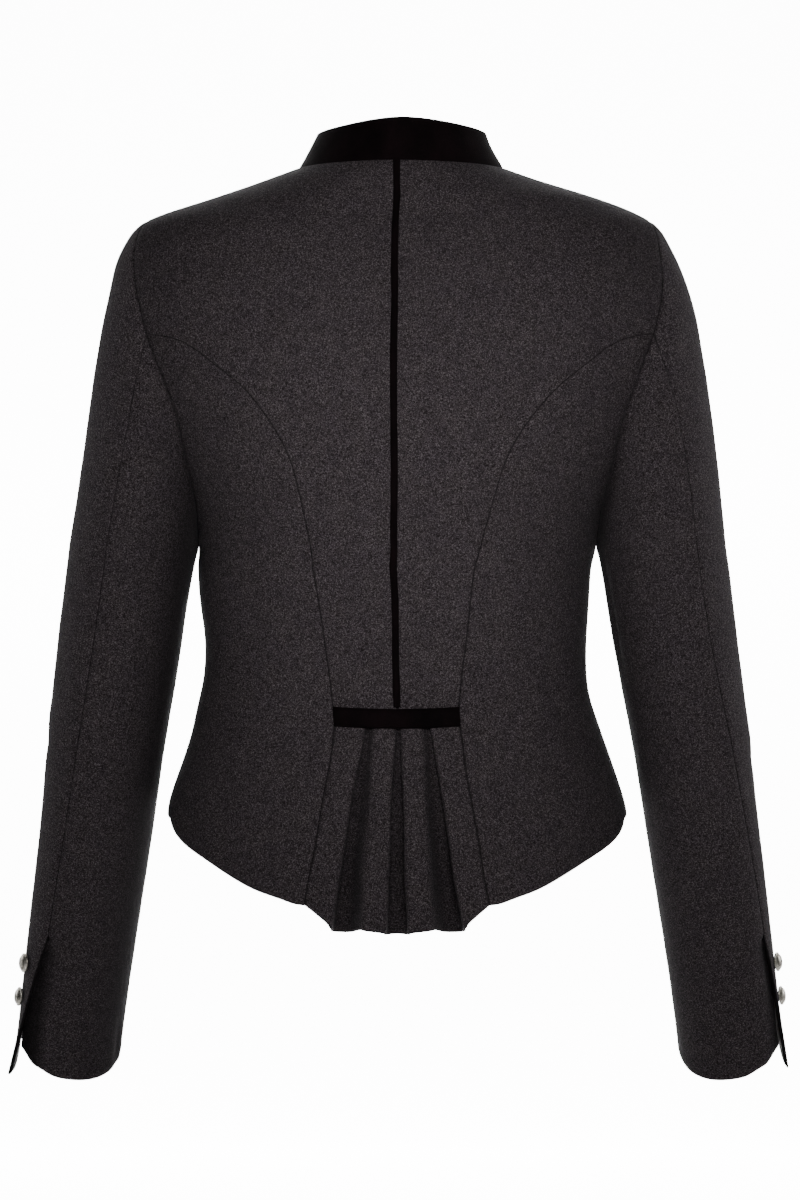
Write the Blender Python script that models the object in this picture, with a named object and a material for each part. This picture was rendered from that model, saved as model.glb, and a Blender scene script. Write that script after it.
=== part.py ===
"""Women's short loden jacket with velvet trims, in its worn, hollow shape.

Metres, +Z up. The front faces -Y and the wearer's left is +X. The origin lies between the
wearer's shoulders, level with the points where the shoulders meet the neck. Tables are in
millimetres and degrees. Each cut piece is one wall of cloth, held on a smooth surface:
`torso` for the body and `arm` for the sleeves.
"""

import math

import bmesh
import bpy
import numpy as np

MM = 0.001

# Driving sizes
LODEN = 2.0 * MM  # wall of the woollen cloth
VELVET = 2.6 * MM  # wall of the stiffened collar
PLEATED_WOOL = 1.5 * MM
FACING = 1.0 * MM
GAP = 0.3 * MM  # between neighbouring pieces
WAIST_SEAM = -389.5 * MM  # height of the seam under the waist tab
NECK_SIDE_HEIGHT = 5.0 * MM
NECK_BACK_HEIGHT = 8.0 * MM
SHOULDER_TIP_HEIGHT = -32.0 * MM
UNDERARM_HEIGHT = -265.0 * MM
FRONT_LAP = 18.0 * MM  # each front runs past the centre line by this
LAP_CLEAR = 24.0 * MM  # the upper front stands clear of the lower one this far out
LAP_RAMP = 28.0 * MM  # and comes back to the body's surface over this much more
LAP_LIFT = LODEN + 3 * GAP
# Heights on the middle of the back that its rows of points start from: at the waist seam, and
# level with the princess seam's top, the shoulder's tip and the neck.
MIDDLE_BACK_HEIGHTS = (WAIST_SEAM, -98 * MM, -33 * MM, NECK_BACK_HEIGHT)
CAP_BLEND = 55.0 * MM  # the sleeve comes onto the armhole over this height
SEAM_BLEND = 70.0 * MM  # a sleeve seam bends to its armhole point over this height
CAP_CLEAR = 0.45 * MM  # the sleeve's top edge is drawn in this much more than other edges
COLLAR_LEAN = 4.2 * MM  # the collar's back leans this far to the wearer's right at its top
CUFF_HEIGHT = -640.0 * MM
LEAN_FADE = 18.0 * MM  # below the underarm, where the body and the arms start to lean apart
VENT_TOP = -546.0 * MM
VENT_STEP = 5.0 * MM  # just below the vent's top, where the under sleeve steps inwards
VENT_FLARE = 3.0 * MM  # the flap's corner stands this far outside the sleeve
VENT_HINGE = {"left": 2.0, "right": -14.0}  # where the flap swings out from, in degrees
BENEATH_FLAP = 12.0  # degrees past the flap's edge where the under sleeve is back in place
UNDERLAP = 30.0  # degrees by which the under sleeve runs on beneath the flap
SIDES = {"left": 1.0, "right": -1.0}


class Table:
    """Rows of named columns, read between the rows by a natural cubic spline."""

    def __init__(self, columns, rows):
        ordered = np.array(sorted(rows), float)
        names = columns.split()
        self.key = ordered[:, 0] * MM
        self.values = {name: ordered[:, i] for i, name in enumerate(names)}

    def at(self, name, key, unit=MM):
        return spline(self.key, self.values[name] * unit, key)


def spline(xs, ys, x):
    """Natural cubic spline through (xs, ys), held at its end values outside them."""
    count, step = len(xs), np.diff(xs)
    matrix, right = np.eye(count), np.zeros(count)
    for i in range(1, count - 1):
        matrix[i, i - 1 : i + 2] = step[i - 1], 2 * (step[i - 1] + step[i]), step[i]
        right[i] = 6 * ((ys[i + 1] - ys[i]) / step[i] - (ys[i] - ys[i - 1]) / step[i - 1])
    bend = np.linalg.solve(matrix, right)
    x = np.clip(np.asarray(x, float), xs[0], xs[-1])
    i = np.clip(np.searchsorted(xs, x) - 1, 0, count - 2)
    low, high, h = x - xs[i], xs[i + 1] - x, step[i]
    return (
        (bend[i] * high**3 + bend[i + 1] * low**3) / (6 * h)
        + (ys[i] / h - bend[i] * h / 6) * high
        + (ys[i + 1] / h - bend[i + 1] * h / 6) * low
    )


# The body's level sections. Above the underarm they run on as if the arm were part of them.
BODY = Table(
    "height sway half_width back_depth front_depth back_power front_power",
    (
        (12, 4.5, 56, 48, 4, 2.0, 2.0),
        (8, 4.7, 66, 52, 6, 2.0, 2.0),
        (5, 4.6, 74, 54, 8, 2.0, 2.0),
        (0, 4.1, 87.5, 57, 15, 2.0, 2.0),
        (-10, 5.2, 117, 61, 24, 2.0, 2.0),
        (-17, 5.7, 139, 63.5, 29, 2.1, 2.0),
        (-24.5, 4.3, 161, 66, 34, 2.1, 2.0),
        (-32, 2.3, 179, 69, 38, 2.2, 2.0),
        (-39, 1.9, 189, 73, 41, 2.2, 2.0),
        (-53, 1.8, 199, 80, 48.5, 2.2, 2.0),
        (-68, 2.6, 205, 86, 57, 2.2, 2.0),
        (-80, 3.4, 208, 90, 64, 2.2, 2.0),
        (-94, 4.0, 209, 94.5, 73, 2.2, 2.05),
        (-120, 4.5, 204, 100.5, 88, 2.2, 2.1),
        (-148, 4.6, 192, 104.5, 102, 2.2, 2.2),
        (-177, 4.3, 178, 105.5, 114, 2.2, 2.3),
        (-214, 3.6, 161, 104, 127, 2.2, 2.4),
        (-240, 3.3, 149, 101.5, 132.5, 2.2, 2.45),
        (-265, 2.6, 142.7, 98, 131, 2.2, 2.4),
        (-300, -0.1, 140.1, 91.5, 122, 2.2, 2.3),
        (-341, 0.4, 136.8, 82, 108, 2.2, 2.2),
        (-365, -0.9, 138.2, 79, 103.5, 2.15, 2.2),
        (-389, -1.7, 143.9, 80, 104, 2.1, 2.2),
        (-420, -0.5, 153.7, 87, 109, 2.1, 2.2),
        (-450, -0.2, 163.4, 95, 114.5, 2.1, 2.2),
        (-480, 0.3, 167.5, 103, 118.5, 2.1, 2.2),
        (-510, -0.5, 170, 109.5, 121, 2.1, 2.2),
        (-540, 2.2, 171.5, 115, 123, 2.1, 2.2),
    ),
)

# The sleeve's level sections, for the left arm. Above the underarm they run on into the body.
SLEEVE = Table(
    "height outer half_width forward half_depth",
    (
        (-32, 177, 27, 0, 50),
        (-36, 183.5, 33, 0, 53),
        (-46, 192.5, 44, 0, 56),
        (-60, 200.5, 52, 0, 58),
        (-75, 206, 56, 0, 59.5),
        (-100, 212.5, 57.5, -1, 60),
        (-122, 216.5, 56.5, -2, 60),
        (-150, 221, 53, -3, 59),
        (-179, 225, 50.5, -4, 58.5),
        (-205, 228.3, 48, -4, 58),
        (-233, 231.8, 46.3, -4, 58),
        (-265, 236, 45.7, -4, 57.5),
        (-305, 240.8, 45, -4, 56.5),
        (-341, 245.2, 44.5, -3, 55),
        (-377, 249.5, 43.6, -1, 53.5),
        (-413, 253.6, 42.3, 3, 52),
        (-450, 257.4, 41.3, 9, 50),
        (-486, 261.8, 40.7, 17, 48),
        (-521, 266.4, 40, 27, 46.3),
        (-557, 271.2, 39.4, 38, 44.5),
        (-593, 275.6, 38.8, 49, 43),
        (-634, 280.2, 38.1, 62, 41.8),
        (-660, 283, 37.4, 70, 41.2),
    ),
)
SLEEVE_POWER = 2.1
SWAY_REACH = 110.0 * MM  # no sway from here outwards

# The whole jacket hangs this far to the wearer's right of its middle plane.
LEAN = Table(
    "height all",
    (
        (45, 4.0), (12, 4.5), (5, 4.6), (0, 4.1), (-10, 5.2), (-17, 5.8), (-24.5, 4.0),
        (-32, 1.6), (-39, 0.8), (-53, 0.3), (-68, 0.9), (-80, 1.8), (-94, 2.4), (-120, 2.5),
        (-150, 2.6), (-205, 2.3), (-240, 1.6), (-265, 0.7),
    ),
)  # fmt: skip
LEAN_BELOW = Table(
    "height body arm",
    (
        (-265, -1.2, 0.2),
        (-280, -2.0, 0.2),
        (-300, -2.3, 0.2),
        (-330, -1.3, 0.2),
        (-365, -1.8, 0.5),
        (-377, -2.0, 0.6),
        (-395, -1.0, 0.9),
        (-420, -0.3, 1.1),
        (-450, -0.4, 1.3),
        (-478, 0.0, 1.5),
        (-507, -0.9, 1.6),
        (-520, -0.1, 1.6),
        (-545, 2.3, 1.6),
        (-660, 2.3, 1.6),
    ),
)

# Height of the cuff's edge at each angle round the arm, on the upper and the under sleeve.
CUFF_UPPER = ((-130, -626), (-90, -622), (-45, -626.5), (0, -634.5), (35, -643), (55, -647.5))
CUFF_UNDER = (
    (20, -626), (42, -632), (50, -638), (63, -645.5), (76, -650), (93, -653), (115, -654),
    (132, -652.5), (142, -650.5), (154, -647), (164, -643), (180, -637), (230, -626),
)  # fmt: skip

# Where the sleeves' back and front seams lie, round the arm from its outer line.
SLEEVE_SEAMS = Table(
    "height back_left back_right front",
    (
        (-115, 69, 66, -110),
        (-180, 69, 62, -116),
        (-330, 69, 60, -124),
        (-450, 62, 46, -128),
        (-546, 55.5, 35, -130),
        (-660, 53, 33, -130),
    ),
)

# Seams drawn on the body, as (angle from the side, height). Back angles are positive.
ARMHOLE = (
    (0, -32), (15, -38), (22.5, -53), (27, -73), (30, -95), (31.2, -116), (31.4, -132), (31.2, -150),
    (30, -178), (26.5, -202), (20, -230), (11, -252), (0, -265), (-9, -254), (-18, -232), (-26, -200),
    (-32, -165), (-35.5, -130), (-35, -100), (-31, -70), (-21, -44), (0, -32),
)  # fmt: skip
ARMHOLE_STEPS = 400
FRONT_SLEEVE_SEAM_TOP = -188  # where the sleeve's front seam meets the armhole
# Seams drawn on the body, as (distance out from the middle, height).
BACK_PRINCESS = (
    (44, -389.5), (46.5, -362), (50, -335), (54.5, -300), (61, -263), (69, -231), (79, -200),
    (93, -177), (112, -154.5), (134, -136.5), (156, -121.5), (180.2, -116),
)  # fmt: skip
INSERT_SEAM = ((65.1, -519.5), (60.3, -493), (54.1, -456), (47.2, -416), (44, -389.5))
FRONT_PRINCESS = (
    (91, -477), (84, -435), (77, -395), (73.5, -362), (79, -320), (87, -280), (93, -245),
    (101, -210), (114, -176), (134, -146), (154, -126), (168, -117),
)  # fmt: skip
BACK_HEM = (
    (65.1, -519.5), (73, -518.5), (80.5, -516), (97, -510.5), (120, -499), (140, -487),
    (153, -478.5), (160.5, -470), (163.6, -459),
)  # fmt: skip
FRONT_HEM = ((163.6, -459), (150, -466), (125, -473), (91, -477), (60, -481), (0, -486), (-18, -486))
FRONT_NECK = ((74, 5), (70.5, -10), (61, -30), (41, -50.5), (20, -61), (0, -65), (-18, -62))

# The pleated insert's folds from the middle outwards, at its top and at its hem. Depth is
# how far a line of the pleat stands out from the body's surface.
PLEATS = (
    # name, top_out, top_depth, hem_out, hem_depth, hem_height
    ("centre_underlay", 0.0, -4.0, 0.0, -24.0, -535.5),
    ("centre_turn", 1.8, -3.6, 9.0, -22.0, -537.0),
    ("centre_lip", 1.2, 0.0, 6.4, 0.6, -539.0),
    ("inner_crest", 9.5, 0.3, 15.0, 1.8, -538.0),
    ("inner_roll", 15.5, 0.1, 24.0, 0.6, -537.0),
    ("valley_side", 18.0, -1.6, 28.5, -8.5, -535.0),
    ("valley_floor", 20.0, -3.6, 37.0, -25.0, -535.0),
    ("side_turn", 22.4, -3.4, 50.0, -23.0, -535.0),
    ("side_lip", 21.8, 0.2, 45.4, 1.2, -535.5),
    ("outer_middle", 32.5, 0.2, 55.0, 1.2, -527.5),
    ("outer_seam", 44.0, 0.0, 65.1, 0.0, -519.5),
)
PLEAT_SPANS = 7
PLEAT_OPENING = 1.1  # power by which the folds deepen from the top to the hem

# The collar's rise and how far its top leans in, by the angle round the neck from the middle
# of the back (0) to the middle of the front (180).
COLLAR_RISE = ((0, 31.6), (60, 27.4), (95, 26.0), (180, 27))
COLLAR_LEAN_IN = ((0, 7), (60, 11), (95, 13.5), (140, 9), (180, 3))
COLLAR_FORWARD = ((0, 0), (95, 2), (180, 3))

BUTTON_RINGS = (
    # radius and height, in shares of the button's radius
    (0.30, 0.00),
    (0.86, 0.10),
    (1.00, 0.26),
    (0.90, 0.44),
    (0.52, 0.62),
)
BUTTON_TOP = 0.68
FRONT_BUTTON_RADIUS = 8.5 * MM
CUFF_BUTTON_RADIUS = 7.0 * MM
FRONT_BUTTON_HEIGHTS = (-88, -160, -232, -304, -376, -448)
CUFF_BUTTON_HEIGHTS = {"upper": -568, "lower": -593}
CUFF_BUTTON_ANGLE = {"left": 26.0, "right": 12.0}


def materials():
    """Name, base colour, metallic and roughness of each finish."""
    looks = (
        ("loden", (0.030, 0.026, 0.029), 0.0, 0.95),
        ("velvet", (0.004, 0.003, 0.003), 0.0, 0.8),
        ("silver", (0.38, 0.35, 0.31), 1.0, 0.42),
    )
    made = {}
    for name, colour, metallic, roughness in looks:
        material = bpy.data.materials.new(name)
        material.use_nodes = True
        shader = material.node_tree.nodes["Principled BSDF"]
        shader.inputs["Base Color"].default_value = (*colour, 1.0)
        shader.inputs["Metallic"].default_value = metallic
        shader.inputs["Roughness"].default_value = roughness
        made[name] = material
    return made


def superellipse(angle, across, deep, power):
    """Point of an oval in the direction whose plain-ellipse angle is `angle`."""
    cosine, sine = np.cos(angle), np.sin(angle)
    reach = (np.abs(cosine) ** power + np.abs(sine) ** power) ** (-1 / power)
    return across * cosine * reach, deep * sine * reach


def torso(angle, height):
    """Body surface of the left half: angle 0 is the side, 90 degrees the middle of the back."""
    angle, height = np.broadcast_arrays(angle, height)
    back = np.sin(angle) >= 0
    deep = np.where(back, BODY.at("back_depth", height), BODY.at("front_depth", height))
    power = np.where(
        back, BODY.at("back_power", height, 1), BODY.at("front_power", height, 1)
    )
    x, y = superellipse(angle, BODY.at("half_width", height), deep, power)
    return np.stack([x, y, height], axis=-1)


def arm(angle, height):
    """Left sleeve's surface: angle 0 is its outer line, 90 degrees its back."""
    angle, height = np.broadcast_arrays(angle, height)
    wide = SLEEVE.at("half_width", height)
    x, y = superellipse(angle, wide, SLEEVE.at("half_depth", height), SLEEVE_POWER)
    return np.stack(
        [x + SLEEVE.at("outer", height) - wide, y - SLEEVE.at("forward", height), height], axis=-1
    )


def unit(vectors):
    return vectors / np.linalg.norm(vectors, axis=-1, keepdims=True)


def outward(surface, angle, height):
    """Unit normals of a surface given as surface(angle, height)."""
    turn, rise = 0.002, 0.4 * MM
    round_ = surface(angle + turn, height) - surface(angle - turn, height)
    up = surface(angle, height + rise) - surface(angle, height - rise)
    return unit(np.cross(round_, up))


def angle_at(out, height, back):
    """Angle on the body of the point that lies `out` from its middle line."""
    name = "back_power" if back else "front_power"
    power = BODY.at(name, height, 1)
    share = np.clip(np.abs(out) / BODY.at("half_width", height), 0, 1)
    other = (1 - share**power) ** (1 / power)
    angle = np.arctan2(other, share)
    angle = np.where(out < 0, math.pi - angle, angle)
    return angle if back else -angle


def resample(points, count, crowd=1.0):
    """Points of a smooth curve through `points`, `count` spans along its length."""
    points = np.asarray(points, float)
    run = np.concatenate([[0], np.cumsum(np.linalg.norm(np.diff(points, axis=0), axis=1))])
    share = np.linspace(0, 1, count + 1) ** crowd * run[-1]
    return np.stack([spline(run, column, share) for column in points.T], axis=-1)


def drawn(points, count, back):
    """A seam given as (out, height) in millimetres, as `count` spans of (angle, height)."""
    out, height = (resample(points, count) * MM).T
    return np.stack([angle_at(out, height, back), height], axis=-1)


def join(*curves):
    """Curves laid end to end, each starting where the last one ended."""
    return np.concatenate([curves[0]] + [curve[1:] for curve in curves[1:]])


def coons(bottom, top, left, right):
    """Grid of (angle, height) inside four boundary curves; rows run from bottom to top."""
    rows, columns = len(left), len(bottom)
    v = np.linspace(0, 1, rows)[:, None, None]
    u = np.linspace(0, 1, columns)[None, :, None]
    ruled = (1 - v) * bottom[None] + v * top[None] + (1 - u) * left[:, None] + u * right[:, None]
    corners = (
        (1 - u) * (1 - v) * bottom[0]
        + u * (1 - v) * bottom[-1]
        + (1 - u) * v * top[0]
        + u * v * top[-1]
    )
    return ruled - corners


# How many spans each shared seam has. Pieces that meet there have the same points.
SPANS = {
    "insert_seam": 5, "princess": 12, "armhole_top": 4, "armhole_back": 6, "armhole_front": 3,
    "armhole_under": 4, "shoulder": 4, "neck": 10, "sleeve": 14, "vent": 4,
}  # fmt: skip


def armhole_parts():
    """The armhole in four stretches of (angle, height), split where other seams meet it."""
    scale = np.array([2.2, 1.0])  # a degree counts as 2.2 mm along the curve
    fine = resample(np.array(ARMHOLE, float) * scale, ARMHOLE_STEPS) / scale
    under = int(np.argmin(fine[:, 1]))

    def nearest(start, end, height):
        return start + int(np.argmin(np.abs(fine[start:end, 1] - height)))

    princess = nearest(0, under, BACK_PRINCESS[-1][1])
    front_seam = nearest(under, None, FRONT_SLEEVE_SEAM_TOP)
    front_princess = nearest(under, None, FRONT_PRINCESS[-1][1])
    stops = (0, princess, under, front_seam, front_princess, ARMHOLE_STEPS)
    spans = ("armhole_top", "armhole_back", "armhole_under", "armhole_front", "armhole_top")
    parts = []
    for start, end, span in zip(stops, stops[1:], spans):
        at = np.round(np.linspace(start, end, SPANS[span] + 1)).astype(int)
        parts.append(fine[at] * [math.pi / 180, MM])
    return parts


def seams():
    """Every shared seam of the left half as points of (angle, height), bottom to top."""
    top_back, back, under, front, top_front = armhole_parts()
    found = {
        "armhole_top_back": top_back[::-1],  # from the back princess seam up to the shoulder tip
        "armhole_back": back,  # from the back princess seam down to the underarm
        "armhole_under": under,  # from the underarm up to the sleeve's front seam
        "armhole_front": front,  # from there up to the front princess seam
        "armhole_top_front": top_front,  # from there up to the shoulder tip
    }
    found["princess"] = drawn(BACK_PRINCESS, SPANS["princess"], True)
    found["princess"][-1] = back[0]
    found["insert_seam"] = drawn(INSERT_SEAM, SPANS["insert_seam"], True)
    rows = SPANS["insert_seam"] + SPANS["princess"]
    found["front_princess"] = drawn(FRONT_PRINCESS, rows, False)
    found["front_princess"][-1] = front[-1]
    side_hem = BACK_HEM[-1][1] * MM
    heights = np.linspace(side_hem, UNDERARM_HEIGHT, rows + 1)
    found["side"] = np.stack([np.zeros(rows + 1), heights], axis=-1)
    ridge = np.linspace(SHOULDER_TIP_HEIGHT, NECK_SIDE_HEIGHT, SPANS["shoulder"] + 1)
    found["shoulder"] = np.stack([np.zeros(len(ridge)), ridge], axis=-1)
    hem_spans = SPANS["armhole_back"]
    found["back_hem"] = drawn(BACK_HEM, hem_spans, True)
    found["back_hem"][-1] = found["side"][0]
    front_spans = SPANS["armhole_under"] + SPANS["armhole_front"]
    side_part = [row for row in FRONT_HEM if row[0] >= FRONT_PRINCESS[0][0]]
    found["side_front_hem"] = drawn(side_part, front_spans, False)
    found["side_front_hem"][0] = found["side"][0]
    found["side_front_hem"][-1] = found["front_princess"][0]
    return found


def back_neck(count):
    """From the middle of the back to the shoulder seam."""
    share = np.linspace(0, 1, count + 1)
    angle = (1 - share) * math.pi / 2
    height = NECK_SIDE_HEIGHT + (NECK_BACK_HEIGHT - NECK_SIDE_HEIGHT) * np.sin(angle)
    return np.stack([angle, height], axis=-1)


def front_neck(count):
    """From the shoulder seam to the middle of the front."""
    found = drawn(FRONT_NECK, count, False)
    found[0] = (0, NECK_SIDE_HEIGHT)
    return found


def inset(grid, normal, distance=GAP / 2):
    """A grid of points with its rim drawn in by `distance`, so that it clears its neighbours."""
    pulled = grid.copy()
    for axis in (0, 1):
        target, source, facing = (np.moveaxis(a, axis, 0) for a in (pulled, grid, normal))
        for edge, inner in ((0, 1), (-1, -2)):
            along = np.gradient(source[edge], axis=0)
            across = unit(np.cross(along, facing[edge]))
            inward = (across * (source[inner] - source[edge])).sum()
            target[edge] += across * math.copysign(distance, inward)
    return pulled


def mirrored(points, side):
    return points * [side, 1.0, 1.0]


def swayed(points):
    """The body's middle line bends a little to one side, and its side seams stay."""
    moved = points.copy()
    share = np.clip(1 - np.abs(points[..., 0]) / SWAY_REACH, 0, 1)
    moved[..., 0] += BODY.at("sway", points[..., 2]) * share
    return leant(moved)


def leant(points, column="body"):
    """The jacket's own lean. Down to the underarm it is the same for the body and the arms."""
    moved, height = points.copy(), points[..., 2]
    below = np.clip((UNDERARM_HEIGHT - height) / LEAN_FADE, 0, 1)
    own = below**2 * (3 - 2 * below) * LEAN_BELOW.at(column, height)
    moved[..., 0] -= LEAN.at("all", height) + own
    return moved


def solid(name, outer, inner, material):
    """One closed wall between two grids of points with the same rows and columns."""
    rows, columns = outer.shape[:2]
    mesh = bmesh.new()
    layers = []
    for grid in (outer, inner):
        layers.append([mesh.verts.new(point) for point in grid.reshape(-1, 3)])
    for layer in layers:
        for i in range(rows - 1):
            for j in range(columns - 1):
                at = i * columns + j
                mesh.faces.new(
                    [layer[k] for k in (at, at + 1, at + columns + 1, at + columns)]
                )
    last = (rows - 1) * columns
    rim = list(range(columns))
    rim += [i * columns + columns - 1 for i in range(1, rows)]
    rim += [last + j for j in range(columns - 2, -1, -1)]
    rim += [i * columns for i in range(rows - 2, 0, -1)]
    # Each span of the rim is split from its lower outer corner, as its neighbour's is.
    for here, there in zip(rim, rim[1:] + rim[:1]):
        low, high = sorted((here, there), key=lambda k: layers[0][k].co.z)
        mesh.faces.new([layers[0][low], layers[0][high], layers[1][high]])
        mesh.faces.new([layers[0][low], layers[1][high], layers[1][low]])
    return finished(name, mesh, material)


def finished(name, mesh, material):
    bmesh.ops.recalc_face_normals(mesh, faces=mesh.faces[:])
    data = bpy.data.meshes.new(name)
    mesh.to_mesh(data)
    mesh.free()
    data.shade_smooth()
    data.set_sharp_from_angle(angle=math.radians(40))
    data.materials.append(material)
    made = bpy.data.objects.new(name, data)
    bpy.context.scene.collection.objects.link(made)
    return made


def through_wall(points, normal, armhole):
    """Directions through a wall. At the armhole, the body and the sleeve share theirs."""
    direction = normal.copy()
    for point, shared in zip(*armhole):
        near = np.linalg.norm(points - point, axis=-1) < 0.01 * MM
        lengthened = shared / np.maximum((normal * shared).sum(axis=-1, keepdims=True), 0.6)
        direction[near] = lengthened[near]
    return direction


def armhole_rim(found):
    """Armhole points where the walls meet at an open angle, and the direction they share."""
    names = ("top_back", "back", "under", "front", "top_front")
    around = np.concatenate([found[f"armhole_{name}"] for name in names])
    points = torso(*around.T)
    body = outward(torso, *around.T)
    sleeve = outward(arm, sleeve_angle(points)[0], points[:, 2])
    open_angle = (body * sleeve).sum(axis=-1) > 0.3
    return points[open_angle], unit(body + sleeve)[open_angle]


def panel(name, domain, side, material, armhole, lift=0.0):
    """A piece of the body: a wall on the torso's surface over a grid of (angle, height)."""
    angle, height = domain[..., 0], domain[..., 1]
    points, normal = torso(angle, height), outward(torso, angle, height)
    direction = through_wall(points, normal, armhole)
    surface = inset(points, normal)
    lift = np.broadcast_to(lift, height.shape)[..., None]
    outer = swayed(mirrored(surface + direction * lift, side))
    inner = swayed(mirrored(surface + direction * (lift - LODEN), side))
    return solid(name, outer, inner, material)


def back_panels(found, finish):
    left = join(found["princess"], found["armhole_top_back"], found["shoulder"])
    corners = (0, SPANS["princess"], SPANS["princess"] + SPANS["armhole_top"], len(left) - 1)
    middle_heights = np.interp(np.arange(len(left)), corners, MIDDLE_BACK_HEIGHTS)
    middle = np.stack([np.full(len(left), math.pi / 2), middle_heights], axis=-1)
    angles = np.linspace(math.pi / 2, left[0, 0], SPANS["neck"] + 1)
    bottom = np.stack([angles, np.full(len(angles), left[0, 1])], axis=-1)
    domain = coons(bottom, back_neck(SPANS["neck"]), middle, left)
    side_domain = coons(
        found["back_hem"],
        found["armhole_back"],
        join(found["insert_seam"], found["princess"]),
        found["side"],
    )
    armhole = armhole_rim(found)
    for name, side in SIDES.items():
        panel(f"back_{name}", domain, side, finish["loden"], armhole)
        panel(f"side_back_{name}", side_domain, side, finish["loden"], armhole)
    return middle


def front_panels(found, finish):
    """The right front laps over the left one, and both run past the centre line."""
    columns = SPANS["neck"]
    outer = join(found["front_princess"], found["armhole_top_front"], found["shoulder"])
    neck = front_neck(columns)
    middle_part = [row for row in FRONT_HEM if row[0] <= FRONT_PRINCESS[0][0]]
    hem = drawn(middle_part, columns, False)
    rows = len(outer)
    # The edge's rows follow the princess seam's, and crowd towards the neck as they do.
    share = (outer[:, 1] - outer[0, 1]) / (outer[-1, 1] - outer[0, 1])
    edge_heights = hem[-1, 1] + share * (neck[-1, 1] - hem[-1, 1])
    edge_angles = angle_at(np.full(rows, -FRONT_LAP), edge_heights, False)
    edge = np.stack([edge_angles, edge_heights], axis=-1)
    hem[0] = outer[0]
    domain = coons(hem, neck, outer, edge)
    side_domain = coons(
        found["side_front_hem"],
        join(found["armhole_under"], found["armhole_front"]),
        found["side"],
        found["front_princess"],
    )
    out = torso(domain[..., 0], domain[..., 1])[..., 0]
    ramp = np.clip((LAP_CLEAR + LAP_RAMP - out) / LAP_RAMP, 0, 1)
    lift = {"left": 0.0, "right": LAP_LIFT * ramp * ramp * (3 - 2 * ramp)}
    armhole = armhole_rim(found)
    for name, side in SIDES.items():
        panel(f"front_{name}", domain, side, finish["loden"], armhole, lift[name])
        panel(f"side_front_{name}", side_domain, side, finish["loden"], armhole)


def back_base(out, height):
    """Points and normals of the back at signed distances from the middle line."""
    angle = angle_at(out, height, True)
    return torso(angle, height), outward(torso, angle, height)


def offset_profile(profile, distance):
    """A (across, depth) polyline moved inwards by `distance`, mitred at its corners."""
    along = unit(np.diff(profile, axis=0))
    left = np.stack([along[:, 1], -along[:, 0]], axis=-1)
    before = np.concatenate([left[:1], left])
    after = np.concatenate([left, left[-1:]])
    mitre = unit(before + after)
    reach = distance / np.maximum((mitre * after).sum(axis=1), 0.45)
    return profile + mitre * reach[:, None]


def pleated_insert(finish):
    """The pleats fan out from the waist tab; one wall folds through all of them."""
    share = np.linspace(0, 1, PLEAT_SPANS + 1)
    columns = [np.array(row[1:], float) * MM for row in PLEATS]
    across = [row[0] + (row[2] - row[0]) * share for row in columns]
    depth = [row[1] + (row[3] - row[1]) * share**PLEAT_OPENING for row in columns]
    height = [WAIST_SEAM + (row[4] - WAIST_SEAM) * share for row in columns]
    last = len(PLEATS) - 1
    across[last] = np.interp(height[last], *np.array(INSERT_SEAM).T[::-1] * MM)
    order = list(range(last, 0, -1)) + list(range(last + 1))
    signs = [-1.0] * last + [1.0] * (last + 1)
    outer, inner = [], []
    for i in range(PLEAT_SPANS + 1):
        profile = np.array([(sign * across[k][i], depth[k][i]) for k, sign in zip(order, signs)])
        heights = np.array([height[k][i] for k in order])
        backed = offset_profile(profile, PLEATED_WOOL)
        backed[[0, -1], 0] = profile[[0, -1], 0]
        for shape, layer in ((profile, outer), (backed, inner)):
            point, normal = back_base(shape[:, 0], heights)
            layer.append(point + normal * shape[:, 1:])
    outer, inner = np.array(outer), np.array(inner)
    draw_in = inset(outer, grid_normals(outer)) - outer
    solid("pleated_insert", swayed(outer + draw_in), swayed(inner + draw_in), finish["loden"])


def waist_tab(finish):
    """A folded velvet band over the waist seam, with a slight sag in the middle."""
    half_length, sag, rows, columns = 44.5 * MM, 1.6 * MM, 4, 12
    top, bottom, rise = -380.6 * MM, -394.6 * MM, 3.4 * MM
    out = np.linspace(-half_length, half_length, columns + 1)[None, :]
    drop = sag * (1 - (out / half_length) ** 2)
    share = np.linspace(0, 1, rows + 1)[:, None]
    height = bottom + (top - bottom) * share - drop
    out = np.broadcast_to(out, height.shape)
    point, normal = back_base(out, height)
    pillow = 0.55 + 0.45 * np.sqrt(np.clip(1 - (2 * share - 1) ** 4, 0, 1))
    seat = 2.8 * GAP  # clear of the pleats' crests beneath it
    outer = point + normal * (seat + rise * pillow)[..., None]
    inner = point + normal * seat
    solid("waist_tab", swayed(outer), swayed(inner), finish["velvet"])


def back_piping(middle, finish):
    """A round velvet strip down the middle of the back, from the collar to the tab."""
    half_width, rise, columns = 2.7 * MM, 2.3 * MM, 4
    low, high = -381.0 * MM, 6.8 * MM
    between = [height for height in middle[:, 1] if low < height < high]
    height = np.array([low, *between, high])[:, None]
    across = np.linspace(-1, 1, columns + 1)[None, :]
    out = np.broadcast_to(across * half_width, (len(height), columns + 1))
    height = np.broadcast_to(height, out.shape)
    point, normal = back_base(out, height)
    # It lies on the back panels' own straight spans.
    point[..., 1] = np.interp(height, middle[:, 1], torso(*middle.T)[:, 1])
    crown = 0.7 * MM + (rise - 0.7 * MM) * np.sqrt(np.clip(1 - np.abs(across) ** 2.2, 0, 1))
    outer = point + normal * (GAP + crown)[..., None]
    solid("back_piping", swayed(outer), swayed(point + normal * GAP), finish["velvet"])


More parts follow.
